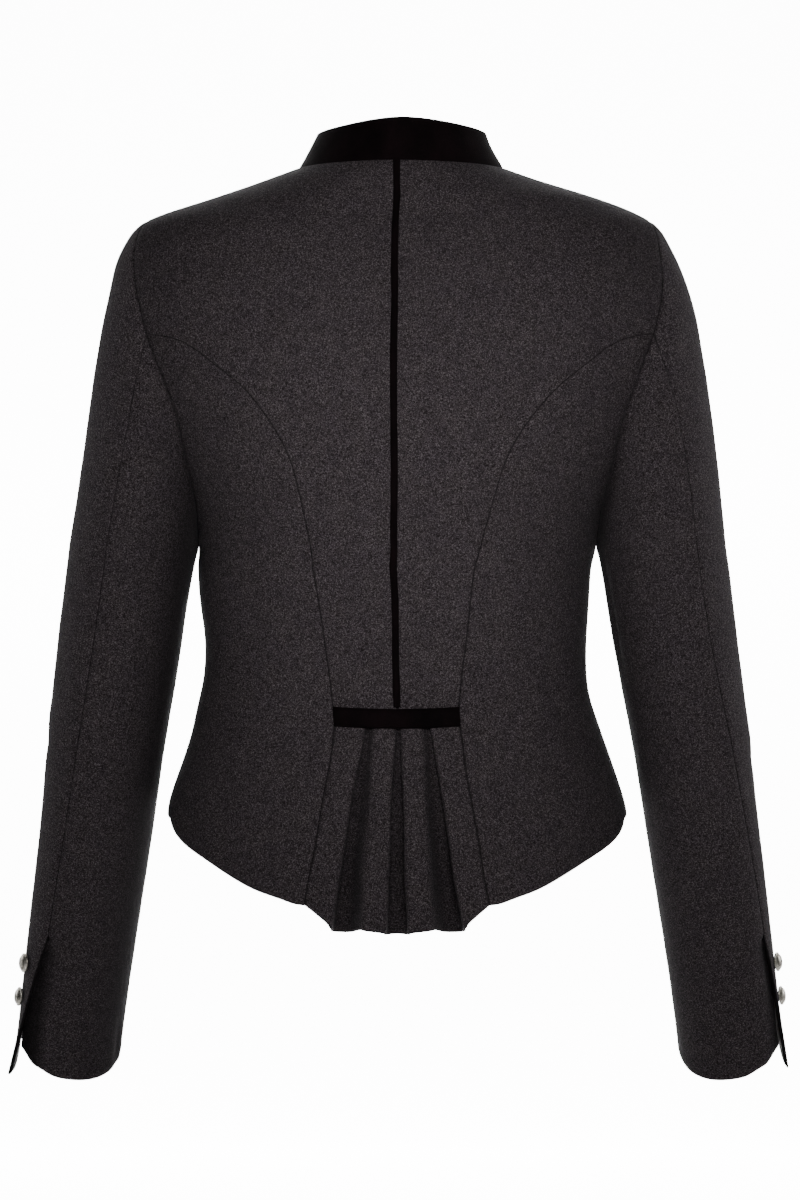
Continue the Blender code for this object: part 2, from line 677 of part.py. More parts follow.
def collar(finish):
    """A stand collar: a velvet band that rises from the neckline and leans inwards."""
    count, rows = SPANS["neck"], 3
    half = join(back_neck(count), front_neck(count))
    half = half[half[:, 0] > math.radians(-88)]
    base = torso(half[:, 0], half[:, 1])
    edge = np.gradient(base, axis=0)
    into_neck = unit(np.cross(edge, outward(torso, half[:, 0], half[:, 1])))
    into_neck *= np.sign(into_neck[0, 2])
    around = np.degrees(np.arctan2(base[:, 0], base[:, 1]))
    rise, lean, forward = (
        np.interp(around, *np.array(table, float).T) * MM
        for table in (COLLAR_RISE, COLLAR_LEAN_IN, COLLAR_FORWARD)
    )
    inward = unit(base * [1.0, 1.0, 0.0])
    share = np.linspace(0, 1, rows + 1)[:, None, None]
    up = np.array([0.0, 0.0, 1.0])
    start = base + into_neck * 2 * GAP
    curve = share + 0.25 * share * (1 - share)
    left = (
        start
        + up * rise[:, None] * share
        - inward * lean[:, None] * curve
        - np.array([0.0, 1.0, 0.0]) * forward[:, None] * share
    )
    left[..., 0] = np.maximum(left[..., 0], 0.0)
    outer = np.concatenate([left[:, ::-1], left[:, 1:] * [-1.0, 1.0, 1.0]], axis=1)
    outer[..., 0] -= COLLAR_LEAN * share[..., 0] * np.clip(0.5 + outer[..., 1] / (60 * MM), 0, 1)
    round_ = np.gradient(outer, axis=1)
    upward = np.gradient(outer, axis=0)
    normal = unit(np.cross(upward, round_))
    normal *= np.sign((normal * (outer * [1, 1, 0])).sum(axis=-1, keepdims=True))
    solid("collar", swayed(outer), swayed(outer - normal * VELVET), finish["velvet"])


def sleeve_angle(point):
    """Angle and reach of a point, as shares of the arm's own section at its height."""
    height = point[..., 2]
    wide = SLEEVE.at("half_width", height)
    across = (point[..., 0] - SLEEVE.at("outer", height) + wide) / wide
    deep = (point[..., 1] + SLEEVE.at("forward", height)) / SLEEVE.at("half_depth", height)
    reach = (np.abs(across) ** SLEEVE_POWER + np.abs(deep) ** SLEEVE_POWER) ** (1 / SLEEVE_POWER)
    return np.arctan2(deep, across), reach


def sleeve_bottom(angle, part):
    """Height of the cuff's edge at an angle round the arm."""
    table = np.array(CUFF_UPPER if part == "upper" else CUFF_UNDER, float)
    return spline(table[:, 0], table[:, 1] * MM, np.degrees(angle))


def sleeve_seam(name, top, count, part):
    """A sleeve seam from the cuff up to its armhole point, closer together at the top."""
    share = 1 - (1 - np.linspace(0, 1, count + 1)) ** 1.25
    at_cuff = SLEEVE_SEAMS.at(name, CUFF_HEIGHT, math.pi / 180)
    bottom = sleeve_bottom(at_cuff + (2 * math.pi if (name, part) == ("front", "under") else 0), part)
    vent = np.linspace(bottom, VENT_TOP - VENT_STEP, SPANS["vent"])
    height = np.concatenate([vent, VENT_TOP + (top[1] - VENT_TOP) * share])
    angle = SLEEVE_SEAMS.at(name, height, math.pi / 180)
    blend = np.clip((height - top[1] + SEAM_BLEND) / SEAM_BLEND, 0, 1) ** 2
    drawn_top = SLEEVE_SEAMS.at(name, top[1], math.pi / 180)
    return np.stack([angle + blend * (top[0] - drawn_top), height], axis=-1)


def sleeve_domains(found, name):
    """Grids of (angle, height) for the upper and the under sleeve, with their cap points."""
    vent_rows = SPANS["vent"]
    cap = join(
        found["armhole_top_back"], found["armhole_top_front"][::-1], found["armhole_front"][::-1]
    )
    under = join(found["armhole_back"], found["armhole_under"])
    grids = {}
    cap_points, under_points = torso(*cap.T), torso(*under.T)
    cap_angle, _ = sleeve_angle(cap_points)
    under_angle, _ = sleeve_angle(under_points)
    under_angle = np.unwrap(under_angle)
    top_cap = np.stack([cap_angle, cap_points[:, 2]], axis=-1)
    top_under = np.stack([under_angle, under_points[:, 2]], axis=-1)
    back = sleeve_seam(f"back_{name}", top_cap[0], SPANS["sleeve"], "upper")
    front = sleeve_seam("front", top_cap[-1], SPANS["sleeve"], "upper")
    front_round = sleeve_seam("front", top_cap[-1], SPANS["sleeve"], "under") + [2 * math.pi, 0]
    top_under[-1, 0] = front_round[-1, 0]

    def cuff(start, end, count, part):
        angle = np.linspace(start[0], end[0], count + 1)
        edge = np.stack([angle, sleeve_bottom(angle, part)], axis=-1)
        edge[0], edge[-1] = start, end
        return edge

    grids["upper"] = coons(cuff(back[0], front[0], len(cap) - 1, "upper"), top_cap, back, front)
    lapped = sleeve_seam(f"back_{name}", top_cap[0], SPANS["sleeve"], "under")
    lapped[: vent_rows - 1, 0] -= math.radians(UNDERLAP)
    grids["under"] = coons(
        cuff(lapped[0], front_round[0], len(under) - 1, "under"), top_under, lapped, front_round
    )
    return grids, {"upper": cap_points, "under": under_points}, back


def stepped_in(points, normal, domain, back, name):
    """The under sleeve passes beneath the flap and its facing, as far as the flap is close."""
    angle, height = domain[..., 0], domain[..., 1]
    apart = ((open_flap(angle, height, name) - points) * normal).sum(axis=-1)
    needed = np.clip(LODEN + FACING + 2.5 * GAP - apart, 0, None)
    beneath = np.zeros(angle.shape)
    for row in range(SPANS["vent"]):
        past = back[row, 0] + math.radians(BENEATH_FLAP) - angle[row]
        beneath[row] = np.clip(past / 0.2, 0, 1)
    return points - normal * (beneath * needed)[..., None]


def pinned(points, cap_points):
    """Draws the top of a sleeve onto the armhole, fading over the rows below."""
    miss = cap_points - points[-1]
    down = points[:, :, 2] - cap_points[None, :, 2]
    fade = np.clip(1 + down / CAP_BLEND, 0, 1) ** 2
    fade[-1] = 1.0
    return points + fade[..., None] * miss[None]


def open_flap(angle, height, name):
    """The upper sleeve's surface. Its flap swings out from near the sleeve's outer line."""
    points = arm(angle, height)
    edge = SLEEVE_SEAMS.at(f"back_{name}", height, math.pi / 180)
    hinge = math.radians(VENT_HINGE[name])
    open_share = np.clip((VENT_TOP - height) / (VENT_TOP - sleeve_bottom(edge, "upper")), 0, 1)
    swing = np.clip((angle - hinge) / (edge - hinge), 0, 1)
    line = arm(np.full(np.shape(height), hinge), height)
    reach = SLEEVE.at("half_depth", height) * (edge - hinge) * 0.93
    flat = line + (swing * reach)[..., None] * np.array([0.0, 1.0, 0.0])
    flat[..., 0] += VENT_FLARE * swing**2
    share = (open_share * (angle > hinge))[..., None]
    return points * (1 - share) + flat * share


def sleeves(found, finish):
    armhole = armhole_rim(found)
    for name, side in SIDES.items():
        grids, caps, back = sleeve_domains(found, name)

        def flapped(angle, height):
            return open_flap(angle, height, name)

        for part, surface in (("upper", flapped), ("under", arm)):
            angle, height = grids[part][..., 0], grids[part][..., 1]
            normal = outward(surface, angle, height)
            points = pinned(surface(angle, height), caps[part])
            if part == "under":
                points = stepped_in(points, normal, grids[part], back, name)
            direction = through_wall(points, normal, armhole)
            points = inset(points, normal)
            points[-1] += unit(points[-2] - points[-1]) * CAP_CLEAR
            if part == "upper":
                vent_facing(points, direction, name, side, finish)
            outer = leant(mirrored(points, side), "arm")
            inner = leant(mirrored(points - direction * LODEN, side), "arm")
            solid(f"{part}_sleeve_{name}", outer, inner, finish["loden"])


def grid_normals(points):
    """Unit normals of a grid from its own differences."""
    return unit(np.cross(np.gradient(points, axis=0), np.gradient(points, axis=1)))


def button(name, centre, normal, radius, material):
    """A domed metal button: rings round its own axis, closed by a centre point at each end."""
    segments = 14
    axis = unit(np.asarray(normal, float))
    first = unit(np.cross(axis, [0.0, 0.31, 1.0]))  # any way across the axis
    second = np.cross(axis, first)
    mesh = bmesh.new()
    rings = []
    for share, rise in BUTTON_RINGS:
        ring = []
        for k in range(segments):
            turn = 2 * math.pi * k / segments
            spoke = math.cos(turn) * first + math.sin(turn) * second
            ring.append(mesh.verts.new(centre + radius * (share * spoke + rise * axis)))
        rings.append(ring)
    bottom = mesh.verts.new(centre)
    top = mesh.verts.new(centre + radius * BUTTON_TOP * axis)
    for low, high in zip(rings, rings[1:]):
        for k in range(segments):
            there = (k + 1) % segments
            mesh.faces.new([low[k], low[there], high[there], high[k]])
    for k in range(segments):
        there = (k + 1) % segments
        mesh.faces.new([bottom, rings[0][there], rings[0][k]])
        mesh.faces.new([top, rings[-1][k], rings[-1][there]])
    finished(name, mesh, material)


def front_buttons(finish):
    for number, height in enumerate(FRONT_BUTTON_HEIGHTS, start=1):
        at = np.array(height * MM)
        angle = angle_at(np.array(0.0), at, False)
        normal = outward(torso, angle, at)
        centre = torso(angle, at) + normal * (LAP_LIFT + 1.5 * GAP)
        button(
            f"front_button_{number}", swayed(centre), normal, FRONT_BUTTON_RADIUS, finish["silver"]
        )


def cuff_buttons(finish):
    for name, side in SIDES.items():

        def flap(angle, height):
            return open_flap(angle, height, name)

        for place, height in CUFF_BUTTON_HEIGHTS.items():
            angle = np.array(math.radians(CUFF_BUTTON_ANGLE[name]))
            at = np.array(height * MM)
            normal = outward(flap, angle, at)
            centre = flap(angle, at) + normal * 2 * GAP
            button(
                f"cuff_button_{name}_{place}",
                leant(mirrored(centre, side), "arm"),
                mirrored(normal, side),
                CUFF_BUTTON_RADIUS,
                finish["silver"],
            )


def vent_facing(points, direction, name, side, finish):
    """A velvet layer inside the flap, made from the flap's own points."""
    rows, columns = slice(0, SPANS["vent"]), slice(0, 4)
    flap, through = points[rows, columns], direction[rows, columns]
    flap = inset(flap, through, 1.0 * MM) - through * (LODEN + GAP)
    backed = flap - through * FACING
    flap, backed = (leant(mirrored(grid, side), "arm") for grid in (flap, backed))
    solid(f"vent_facing_{name}", flap, backed, finish["velvet"])


def main():
    for old in list(bpy.data.objects):
        bpy.data.objects.remove(old)
    finish = materials()
    found = seams()
    middle = back_panels(found, finish)
    front_panels(found, finish)
    pleated_insert(finish)
    waist_tab(finish)
    back_piping(middle, finish)
    collar(finish)
    sleeves(found, finish)
    front_buttons(finish)
    cuff_buttons(finish)


main()
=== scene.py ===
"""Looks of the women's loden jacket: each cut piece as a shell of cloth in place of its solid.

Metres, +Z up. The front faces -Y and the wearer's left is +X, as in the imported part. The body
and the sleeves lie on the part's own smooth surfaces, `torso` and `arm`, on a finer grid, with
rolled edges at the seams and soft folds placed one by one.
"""

import math

import bpy
import numpy as np
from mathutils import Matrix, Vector


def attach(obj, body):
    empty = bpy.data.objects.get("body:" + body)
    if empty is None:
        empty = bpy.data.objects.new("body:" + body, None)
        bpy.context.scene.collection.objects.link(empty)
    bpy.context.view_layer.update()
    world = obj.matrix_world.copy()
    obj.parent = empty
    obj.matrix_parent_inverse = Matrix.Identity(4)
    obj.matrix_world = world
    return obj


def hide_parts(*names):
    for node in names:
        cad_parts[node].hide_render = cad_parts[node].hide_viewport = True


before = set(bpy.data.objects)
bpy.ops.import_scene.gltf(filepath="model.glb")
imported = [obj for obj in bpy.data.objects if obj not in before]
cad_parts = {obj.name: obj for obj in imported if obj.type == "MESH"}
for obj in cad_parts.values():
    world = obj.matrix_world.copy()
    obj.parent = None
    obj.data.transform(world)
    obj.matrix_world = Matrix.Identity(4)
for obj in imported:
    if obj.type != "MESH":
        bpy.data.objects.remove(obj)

MM = 0.001
FINE = 6  # lines of a piece's grid for each span of its solid's grid

# Driving sizes
LODEN = 2.0 * MM  # wall of the woollen cloth
VELVET = 2.6 * MM  # wall of the stiffened collar
PLEATED_WOOL = 1.5 * MM
FACING = 1.0 * MM
GAP = 0.3 * MM  # between neighbouring pieces
WAIST_SEAM = -389.5 * MM  # height of the seam under the waist tab
NECK_SIDE_HEIGHT = 5.0 * MM
NECK_BACK_HEIGHT = 8.0 * MM
SHOULDER_TIP_HEIGHT = -32.0 * MM
UNDERARM_HEIGHT = -265.0 * MM
FRONT_LAP = 18.0 * MM  # each front runs past the centre line by this
LAP_CLEAR = 24.0 * MM  # the upper front stands clear of the lower one this far out
LAP_RAMP = 28.0 * MM  # and comes back to the body's surface over this much more
LAP_LIFT = LODEN + 3 * GAP
# Heights on the middle of the back that its rows of points start from: at the waist seam, and
# level with the princess seam's top, the shoulder's tip and the neck.
MIDDLE_BACK_HEIGHTS = (WAIST_SEAM, -98 * MM, -33 * MM, NECK_BACK_HEIGHT)
CAP_BLEND = 55.0 * MM  # the sleeve comes onto the armhole over this height
COLLAR_LEAN = 4.2 * MM  # the collar's back leans this far to the wearer's right at its top
CUFF_HEIGHT = -640.0 * MM
LEAN_FADE = 18.0 * MM  # below the underarm, where the body and the arms start to lean apart
VENT_TOP = -546.0 * MM
VENT_STEP = 5.0 * MM  # just below the vent's top, where the under sleeve steps inwards
VENT_FLARE = 3.0 * MM  # the flap's corner stands this far outside the sleeve
VENT_HINGE = {"left": 2.0, "right": -14.0}  # where the flap swings out from, in degrees
FLAP_SHARE = 0.93  # the flap's width when flat, as a share of its width round the arm
UNDERLAP = 30.0  # degrees by which the under sleeve runs on beneath the flap
UNDERLAP_STEP = 12.0 * MM  # height over which it comes to run on that far
FLAP_PAST = 12.0  # degrees past the flap's edge where the under sleeve starts to give way to it
BLUNT_EDGE = 0.6  # how much less the flap's edges roll
BLUNT_OVER = 20 * MM  # which they come to over this height below the vent's top
SIDES = {"left": 1.0, "right": -1.0}
UP = np.array([0.0, 0.0, 1.0])

# Sizes of the finer form
CLOTH = 1.8 * MM  # thickness of the loden as it shows
ROLL = 1.3 * MM  # how far in from a seam its edge rolls over
ROLL_DROP = 0.6  # how far the edge drops there, as a share of the cloth's thickness
ALLOWANCE = 5.0 * MM  # the edge of the seam allowance lies this far in, beneath the cloth
ALLOWANCE_WIDTH = 3.0 * MM
ALLOWANCE_RIDGE = 0.35 * MM
PIPING_HALF_WIDTH = 2.6 * MM
PIPING_HEIGHT = 2.2 * MM
PIPING_SUNK = 0.4 * MM  # the piping's underside lies this far inside the backs
FACING_CLEAR = 0.1 * MM  # between the flap and its facing
FACING_INSET = 3  # lines of the flap's grid that its facing stays in from an edge
RIM_SHADE_REACH = 1.0 * MM  # how far in from a seam or a hem the wool is painted dark, as painted shade at its edge
SWELL = 0.16 * MM  # height of the low swells
TURN_REACH = 2.5 * MM  # how near to an armhole both pieces' walls turn to the seam's way
RIM_LINES = (0.0, 0.05, 0.13, 0.25, 0.42, 0.68)  # extra grid lines near a rim, in grid cells
MM_PER_DEGREE = {"body": 2.4, "arm": 0.85}

# The studio
CAMERA_DISTANCE = 4.0
CAMERA_HEIGHT = -0.3053
CAMERA_SIDE = -0.0025
FRAME_HEIGHT = 0.864  # what the camera sees from top to bottom, where the jacket hangs
FLOOR_HEIGHT = -1.42
FLOOR_FRONT = 6.0
SWEEP_SIDE = 6.0
WALL_BACK = 8.4  # leaves room for a camera in front of the jacket
WALL_RISE = 14.0
WALL_BEND = 1.2  # radius in which the floor turns up into the wall
WORLD_LIGHT = 0.04
PAPER_GLOW = 11.0
PAPER_DIM = 0.08  # what is left of the glow outside what the camera sees
GLOW_STARTS = ((0.5, 0.0), (1.2, 1.0))  # share of the glow, by metres behind the jacket
GLOW_WIDENS = 0.22  # how fast the glowing part widens with the distance behind
GLOW_ENDS = ((0.03, 1.0), (0.8, PAPER_DIM))  # share of the glow, by metres past that width
LAMPS = (
    # name, place, aim, size, power, and how widely it spreads, in degrees
    ("key", (-0.06, 1.25, 0.03), (0.0, 0.0, -0.2), (0.45, 0.45), 2.1, 62),
    ("left_rim", (1.5, -0.9, 0.15), (0.2, 0.0, -0.2), (0.8, 1.2), 12.0, 180),
    ("right_rim", (-1.5, -0.7, 0.15), (-0.2, 0.0, -0.2), (0.8, 1.2), 17.0, 180),
)

# Soft folds: surface, where, start angle and height, end angle and height, bow, width, depth.
# Angles are in degrees on the surface, and the rest in millimetres. A minus depth is a ridge.
FOLDS = (
    ("body", "left", 80, -52, 29, -63, 4, 9, 1.1),
    ("body", "left", 36, -352, 30, -452, -3, 11, 1.0),
    ("body", "left", 47, -300, 40, -400, 3, 8, 0.6),
    ("body", "left", 118, -150, 150, -262, 5, 13, 0.9),
    ("body", "left", 128, -330, 158, -405, -4, 10, 0.8),
    ("body", "right", 76, -46, 34, -66, -4, 9, 1.2),
    ("body", "right", 41, -345, 26, -432, 4, 10, 1.1),
    ("body", "right", 52, -292, 49, -372, -2, 7, 0.7),
    ("body", "right", 121, -172, 147, -250, -4, 12, 0.8),
    ("body", "right", 124, -345, 156, -392, 3, 9, 0.9),
    ("arm", "left_upper", 62, -108, 36, -182, 4, 8, 1.1),
    ("arm", "left_upper", 96, -160, 66, -219, -3, 7, 0.8),
    ("arm", "left_upper", -32, -388, 18, -418, 4, 7, 0.9),
    ("arm", "left_under", 152, -606, 160, -650, 2, 4, 1.1),
    ("arm", "left_under", -168, -372, -132, -404, 3, 7, 1.0),
    ("arm", "right_upper", 64, -108, 104, -204, -4, 8, 1.1),
    ("arm", "right_upper", 16, -86, 78, -210, 5, 9, 0.8),
    ("arm", "right_upper", -28, -402, 22, -424, -4, 7, 0.8),
    ("arm", "right_under", 166, -262, 158, -372, 2, 4.5, 1.8),
    ("arm", "right_under", -166, -386, -136, -412, -3, 7, 0.9),
)
PLEAT_CUT = 0.22  # how much of each side a fold's corner loses, twice over
PLEAT_DEEPENS = 1.1  # the power by which the pleats' depth grows towards the hem
# The pleats' lines wander this much across and in depth, in millimetres, this fast.
PLEAT_SLACK = np.array([0.7, 0.5])
PLEAT_WAVES = np.array([7.0, 9.0])

# How dark the wool is where little light comes, from 0 to 1
PLEAT_SHADE = 0.5  # inside the pleats
FLAP_SHADE = 0.85  # beneath the cuffs' flaps
FLAP_SHADE_REACH = 18.0  # degrees past a flap's edge at which that ends
HOLLOW_SHADE = {"body": 0.6, "arm": 0.95}  # beside the armholes
HOLLOW_TOP = -150.0 * MM  # from here the hollow beside an armhole deepens
HOLLOW_DEEPENS = 90.0 * MM  # and this far below it is deepest
HOLLOW_REACH = (3.0 * MM, 29.0 * MM)  # how far that shade reaches, at its top and its deepest
# By degrees round from the body's side, and from the sleeve's outer line
SIDE_SHADE = ((0, 0.44), (12, 0.42), (30, 0.30), (45, 0.16), (60, 0.04), (72, 0.0), (180, 0.0))
ARM_SHADE = {
    "left": ((0, 0.0), (45, 0.04), (90, 0.22), (120, 0.44), (145, 0.8), (180, 0.8)),
    "right": ((0, 0.0), (45, 0.0), (90, 0.16), (125, 0.28), (155, 0.40), (180, 0.45)),
}

# The collar, by degrees round the neck from the middle of the back
COLLAR_RISE = ((-60, 27.4), (0, 31.2), (60, 27.4), (95, 26.0), (180, 27))
COLLAR_LEAN_IN = ((-60, 11), (0, 7), (60, 11), (95, 13.5), (140, 9), (180, 3))
COLLAR_FORWARD = ((0, 0), (95, 2), (180, 3))
COLLAR_END = -88.0  # angle on the body at which the collar ends, short of the middle
COLLAR_BOW = 0.25  # how much of its lean the collar takes up low down
COLLAR_FOOT = 0.07  # share of the collar's height in which its foot turns under the neckline
FOOT_DOWN = 2.4 * MM
COLLAR_SEAT = 0.2 * MM  # above that, the collar starts this far over the neckline
FOOT_IN = ((0, -1.0), (0.3, -1.0), (0.5, 0.0), (1, 1.5))  # by how upright the body is there
BUTTON_PROFILE = (
    # radius and height, in shares of the button's radius
    (0.30, 0.00), (0.32, 0.10), (0.84, 0.12), (0.97, 0.17), (1.00, 0.25), (0.98, 0.33), (0.91, 0.37),
    (0.86, 0.36), (0.83, 0.40), (0.76, 0.50), (0.64, 0.59), (0.48, 0.65), (0.30, 0.69), (0.12, 0.705),
)  # fmt: skip
BUTTON_TOP = 0.71
BUTTON_SEGMENTS = 48
NAPS = {"loden": "cloth", "velvet": "velvet"}  # what a piece of each material is called


class Table:
    """Rows of named columns, read between the rows by a natural cubic spline."""

    def __init__(self, columns, rows):
        ordered = np.array(sorted(rows), float)
        names = columns.split()
        self.key = ordered[:, 0] * MM
        self.values = {name: ordered[:, i] for i, name in enumerate(names)}

    def at(self, name, key, unit=MM):
        return spline(self.key, self.values[name] * unit, key)


def spline(xs, ys, x):
    """Natural cubic spline through (xs, ys), held at its end values outside them."""
    count, step = len(xs), np.diff(xs)
    matrix, right = np.eye(count), np.zeros(count)
    for i in range(1, count - 1):
        matrix[i, i - 1 : i + 2] = step[i - 1], 2 * (step[i - 1] + step[i]), step[i]
        right[i] = 6 * ((ys[i + 1] - ys[i]) / step[i] - (ys[i] - ys[i - 1]) / step[i - 1])
    bend = np.linalg.solve(matrix, right)
    x = np.clip(np.asarray(x, float), xs[0], xs[-1])
    i = np.clip(np.searchsorted(xs, x) - 1, 0, count - 2)
    low, high, h = x - xs[i], xs[i + 1] - x, step[i]
    return (
        (bend[i] * high**3 + bend[i + 1] * low**3) / (6 * h)
        + (ys[i] / h - bend[i] * h / 6) * high
        + (ys[i + 1] / h - bend[i + 1] * h / 6) * low
    )


# The body's level sections. Above the underarm they run on as if the arm were part of them.
BODY = Table(
    "height sway half_width back_depth front_depth back_power front_power",
    (
        (12, 4.5, 56, 48, 4, 2.0, 2.0),
        (8, 4.7, 66, 52, 6, 2.0, 2.0),
        (5, 4.6, 74, 54, 8, 2.0, 2.0),
        (0, 4.1, 87.5, 57, 15, 2.0, 2.0),
        (-10, 5.2, 117, 61, 24, 2.0, 2.0),
        (-17, 5.7, 139, 63.5, 29, 2.1, 2.0),
        (-24.5, 4.3, 161, 66, 34, 2.1, 2.0),
        (-32, 2.3, 179, 69, 38, 2.2, 2.0),
        (-39, 1.9, 189, 73, 41, 2.2, 2.0),
        (-53, 1.8, 199, 80, 48.5, 2.2, 2.0),
        (-68, 2.6, 205, 86, 57, 2.2, 2.0),
        (-80, 3.4, 208, 90, 64, 2.2, 2.0),
        (-94, 4.0, 209, 94.5, 73, 2.2, 2.05),
        (-120, 4.5, 204, 100.5, 88, 2.2, 2.1),
        (-148, 4.6, 192, 104.5, 102, 2.2, 2.2),
        (-177, 4.3, 178, 105.5, 114, 2.2, 2.3),
        (-214, 3.6, 161, 104, 127, 2.2, 2.4),
        (-240, 3.3, 149, 101.5, 132.5, 2.2, 2.45),
        (-265, 2.6, 142.7, 98, 131, 2.2, 2.4),
        (-300, -0.1, 140.1, 91.5, 122, 2.2, 2.3),
        (-341, 0.4, 136.8, 82, 108, 2.2, 2.2),
        (-365, -0.9, 138.2, 79, 103.5, 2.15, 2.2),
        (-389, -1.7, 143.9, 80, 104, 2.1, 2.2),
        (-420, -0.5, 153.7, 87, 109, 2.1, 2.2),
        (-450, -0.2, 163.4, 95, 114.5, 2.1, 2.2),
        (-480, 0.3, 167.5, 103, 118.5, 2.1, 2.2),
        (-510, -0.5, 170, 109.5, 121, 2.1, 2.2),
        (-540, 2.2, 171.5, 115, 123, 2.1, 2.2),
    ),
)

# The sleeve's level sections, for the left arm. Above the underarm they run on into the body.
SLEEVE = Table(
    "height outer half_width forward half_depth",
    (
        (-32, 177, 27, 0, 50),
        (-36, 183.5, 33, 0, 53),
        (-46, 192.5, 44, 0, 56),
        (-60, 200.5, 52, 0, 58),
        (-75, 206, 56, 0, 59.5),
        (-100, 212.5, 57.5, -1, 60),
        (-122, 216.5, 56.5, -2, 60),
        (-150, 221, 53, -3, 59),
        (-179, 225, 50.5, -4, 58.5),
        (-205, 228.3, 48, -4, 58),
        (-233, 231.8, 46.3, -4, 58),
        (-265, 236, 45.7, -4, 57.5),
        (-305, 240.8, 45, -4, 56.5),
        (-341, 245.2, 44.5, -3, 55),
        (-377, 249.5, 43.6, -1, 53.5),
        (-413, 253.6, 42.3, 3, 52),
        (-450, 257.4, 41.3, 9, 50),
        (-486, 261.8, 40.7, 17, 48),
        (-521, 266.4, 40, 27, 46.3),
        (-557, 271.2, 39.4, 38, 44.5),
        (-593, 275.6, 38.8, 49, 43),
        (-634, 280.2, 38.1, 62, 41.8),
        (-660, 283, 37.4, 70, 41.2),
    ),
)
SLEEVE_POWER = 2.1
SWAY_REACH = 110.0 * MM  # no sway from here outwards

# The whole jacket hangs this far to the wearer's right of its middle plane.
LEAN = Table(
    "height all",
    (
        (45, 4.0), (12, 4.5), (5, 4.6), (0, 4.1), (-10, 5.2), (-17, 5.8), (-24.5, 4.0),
        (-32, 1.6), (-39, 0.8), (-53, 0.3), (-68, 0.9), (-80, 1.8), (-94, 2.4), (-120, 2.5),
        (-150, 2.6), (-205, 2.3), (-240, 1.6), (-265, 0.7),
    ),
)  # fmt: skip
LEAN_BELOW = Table(
    "height body arm",
    (
        (-265, -1.2, 0.2), (-280, -2.0, 0.2), (-300, -2.3, 0.2), (-330, -1.3, 0.2),
        (-365, -1.8, 0.5), (-377, -2.0, 0.6), (-395, -1.0, 0.9), (-420, -0.3, 1.1),
        (-450, -0.4, 1.3), (-478, 0.0, 1.5), (-507, -0.9, 1.6), (-520, -0.1, 1.6),
        (-545, 2.3, 1.6), (-660, 2.3, 1.6),
    ),
)  # fmt: skip

# Height of the cuff's edge at each angle round the arm, on the upper and the under sleeve.
CUFF_UPPER = (
    (-130, -626), (-90, -622), (-45, -623.5), (-8, -627), (12, -634), (33, -645.5), (55, -649),
)  # fmt: skip
CUFF_UNDER = (
    (20, -628), (42, -636), (50, -641), (63, -645.5), (76, -650), (93, -653), (115, -654),
    (132, -652.5), (142, -650.5), (154, -647), (164, -643), (180, -637), (230, -626),
)  # fmt: skip

# Where the sleeves' back and front seams lie, round the arm from its outer line.
SLEEVE_SEAMS = Table(
    "height back_left back_right front",
    (
        (-115, 69, 66, -110),
        (-180, 69, 62, -116),
        (-330, 69, 60, -124),
        (-450, 62, 46, -128),
        (-546, 55.5, 35, -130),
        (-660, 53, 33, -130),
    ),
)

# Seams drawn on the body, as (angle from the side, height). Back angles are positive.
ARMHOLE = (
    (0, -32), (15, -38), (22.5, -53), (27, -73), (30, -95), (31.2, -116), (31.4, -132), (31.2, -150),
    (30, -178), (26.5, -202), (20, -230), (11, -252), (0, -265), (-9, -254), (-18, -232), (-26, -200),
    (-32, -165), (-35.5, -130), (-35, -100), (-31, -70), (-21, -44), (0, -32),
)  # fmt: skip
ARMHOLE_STEPS = 400
FRONT_SLEEVE_SEAM_TOP = -188  # where the sleeve's front seam meets the armhole
SEAM_BLEND = 70.0 * MM  # the sleeve's seams swing to their armhole points over this height
# Seams drawn on the body, as (distance out from the middle, height).
BACK_PRINCESS = (
    (44, -389.5), (46.5, -362), (50, -335), (54.5, -300), (61, -263), (69, -231), (79, -200),
    (93, -177), (112, -154.5), (134, -136.5), (156, -121.5), (180.2, -116),
)  # fmt: skip
INSERT_SEAM = ((65.1, -519.5), (60.3, -493), (54.1, -456), (47.2, -416), (44, -389.5))
FRONT_PRINCESS = (
    (91, -477), (84, -435), (77, -395), (73.5, -362), (79, -320), (87, -280), (93, -245),
    (101, -210), (114, -176), (134, -146), (154, -126), (168, -117),
)  # fmt: skip
BACK_HEM = (
    (65.1, -519.5), (73, -518.5), (80.5, -516), (97, -510.5), (120, -499), (140, -487),
    (153, -478.5), (160.5, -470), (163.6, -459),
)  # fmt: skip
FRONT_HEM = (
    (163.6, -459), (150, -466), (125, -473), (91, -477), (60, -481), (0, -486), (-18, -486),
)  # fmt: skip
FRONT_NECK = ((74, 5), (70.5, -10), (61, -30), (41, -50.5), (20, -61), (0, -65), (-18, -62))

# The pleated insert's folds from the middle outwards, at its top and at its hem. Depth is
# how far a line of the pleat stands out from the body's surface.
PLEATS = (
    # name, top_out, top_depth, hem_out, hem_depth, hem_height
    ("centre_underlay", 0.0, -4.0, 0.0, -24.0, -535.5),
    ("centre_turn", 1.8, -3.6, 9.0, -22.0, -537.0),
    ("centre_lip", 1.2, 0.0, 6.4, 0.6, -539.0),
    ("inner_crest", 9.5, 0.3, 15.0, 1.8, -538.0),
    ("inner_roll", 15.5, 0.1, 24.0, 0.6, -537.0),
    ("valley_side", 18.0, -1.6, 28.5, -8.5, -535.0),
    ("valley_floor", 20.0, -3.6, 37.0, -25.0, -535.0),
    ("side_turn", 22.4, -3.4, 50.0, -23.0, -535.0),
    ("side_lip", 21.8, 0.2, 45.4, 1.2, -535.5),
    ("outer_middle", 32.5, 0.2, 55.0, 1.2, -527.5),
    ("outer_seam", 44.0, 0.0, 65.1, 0.0, -519.5),
)

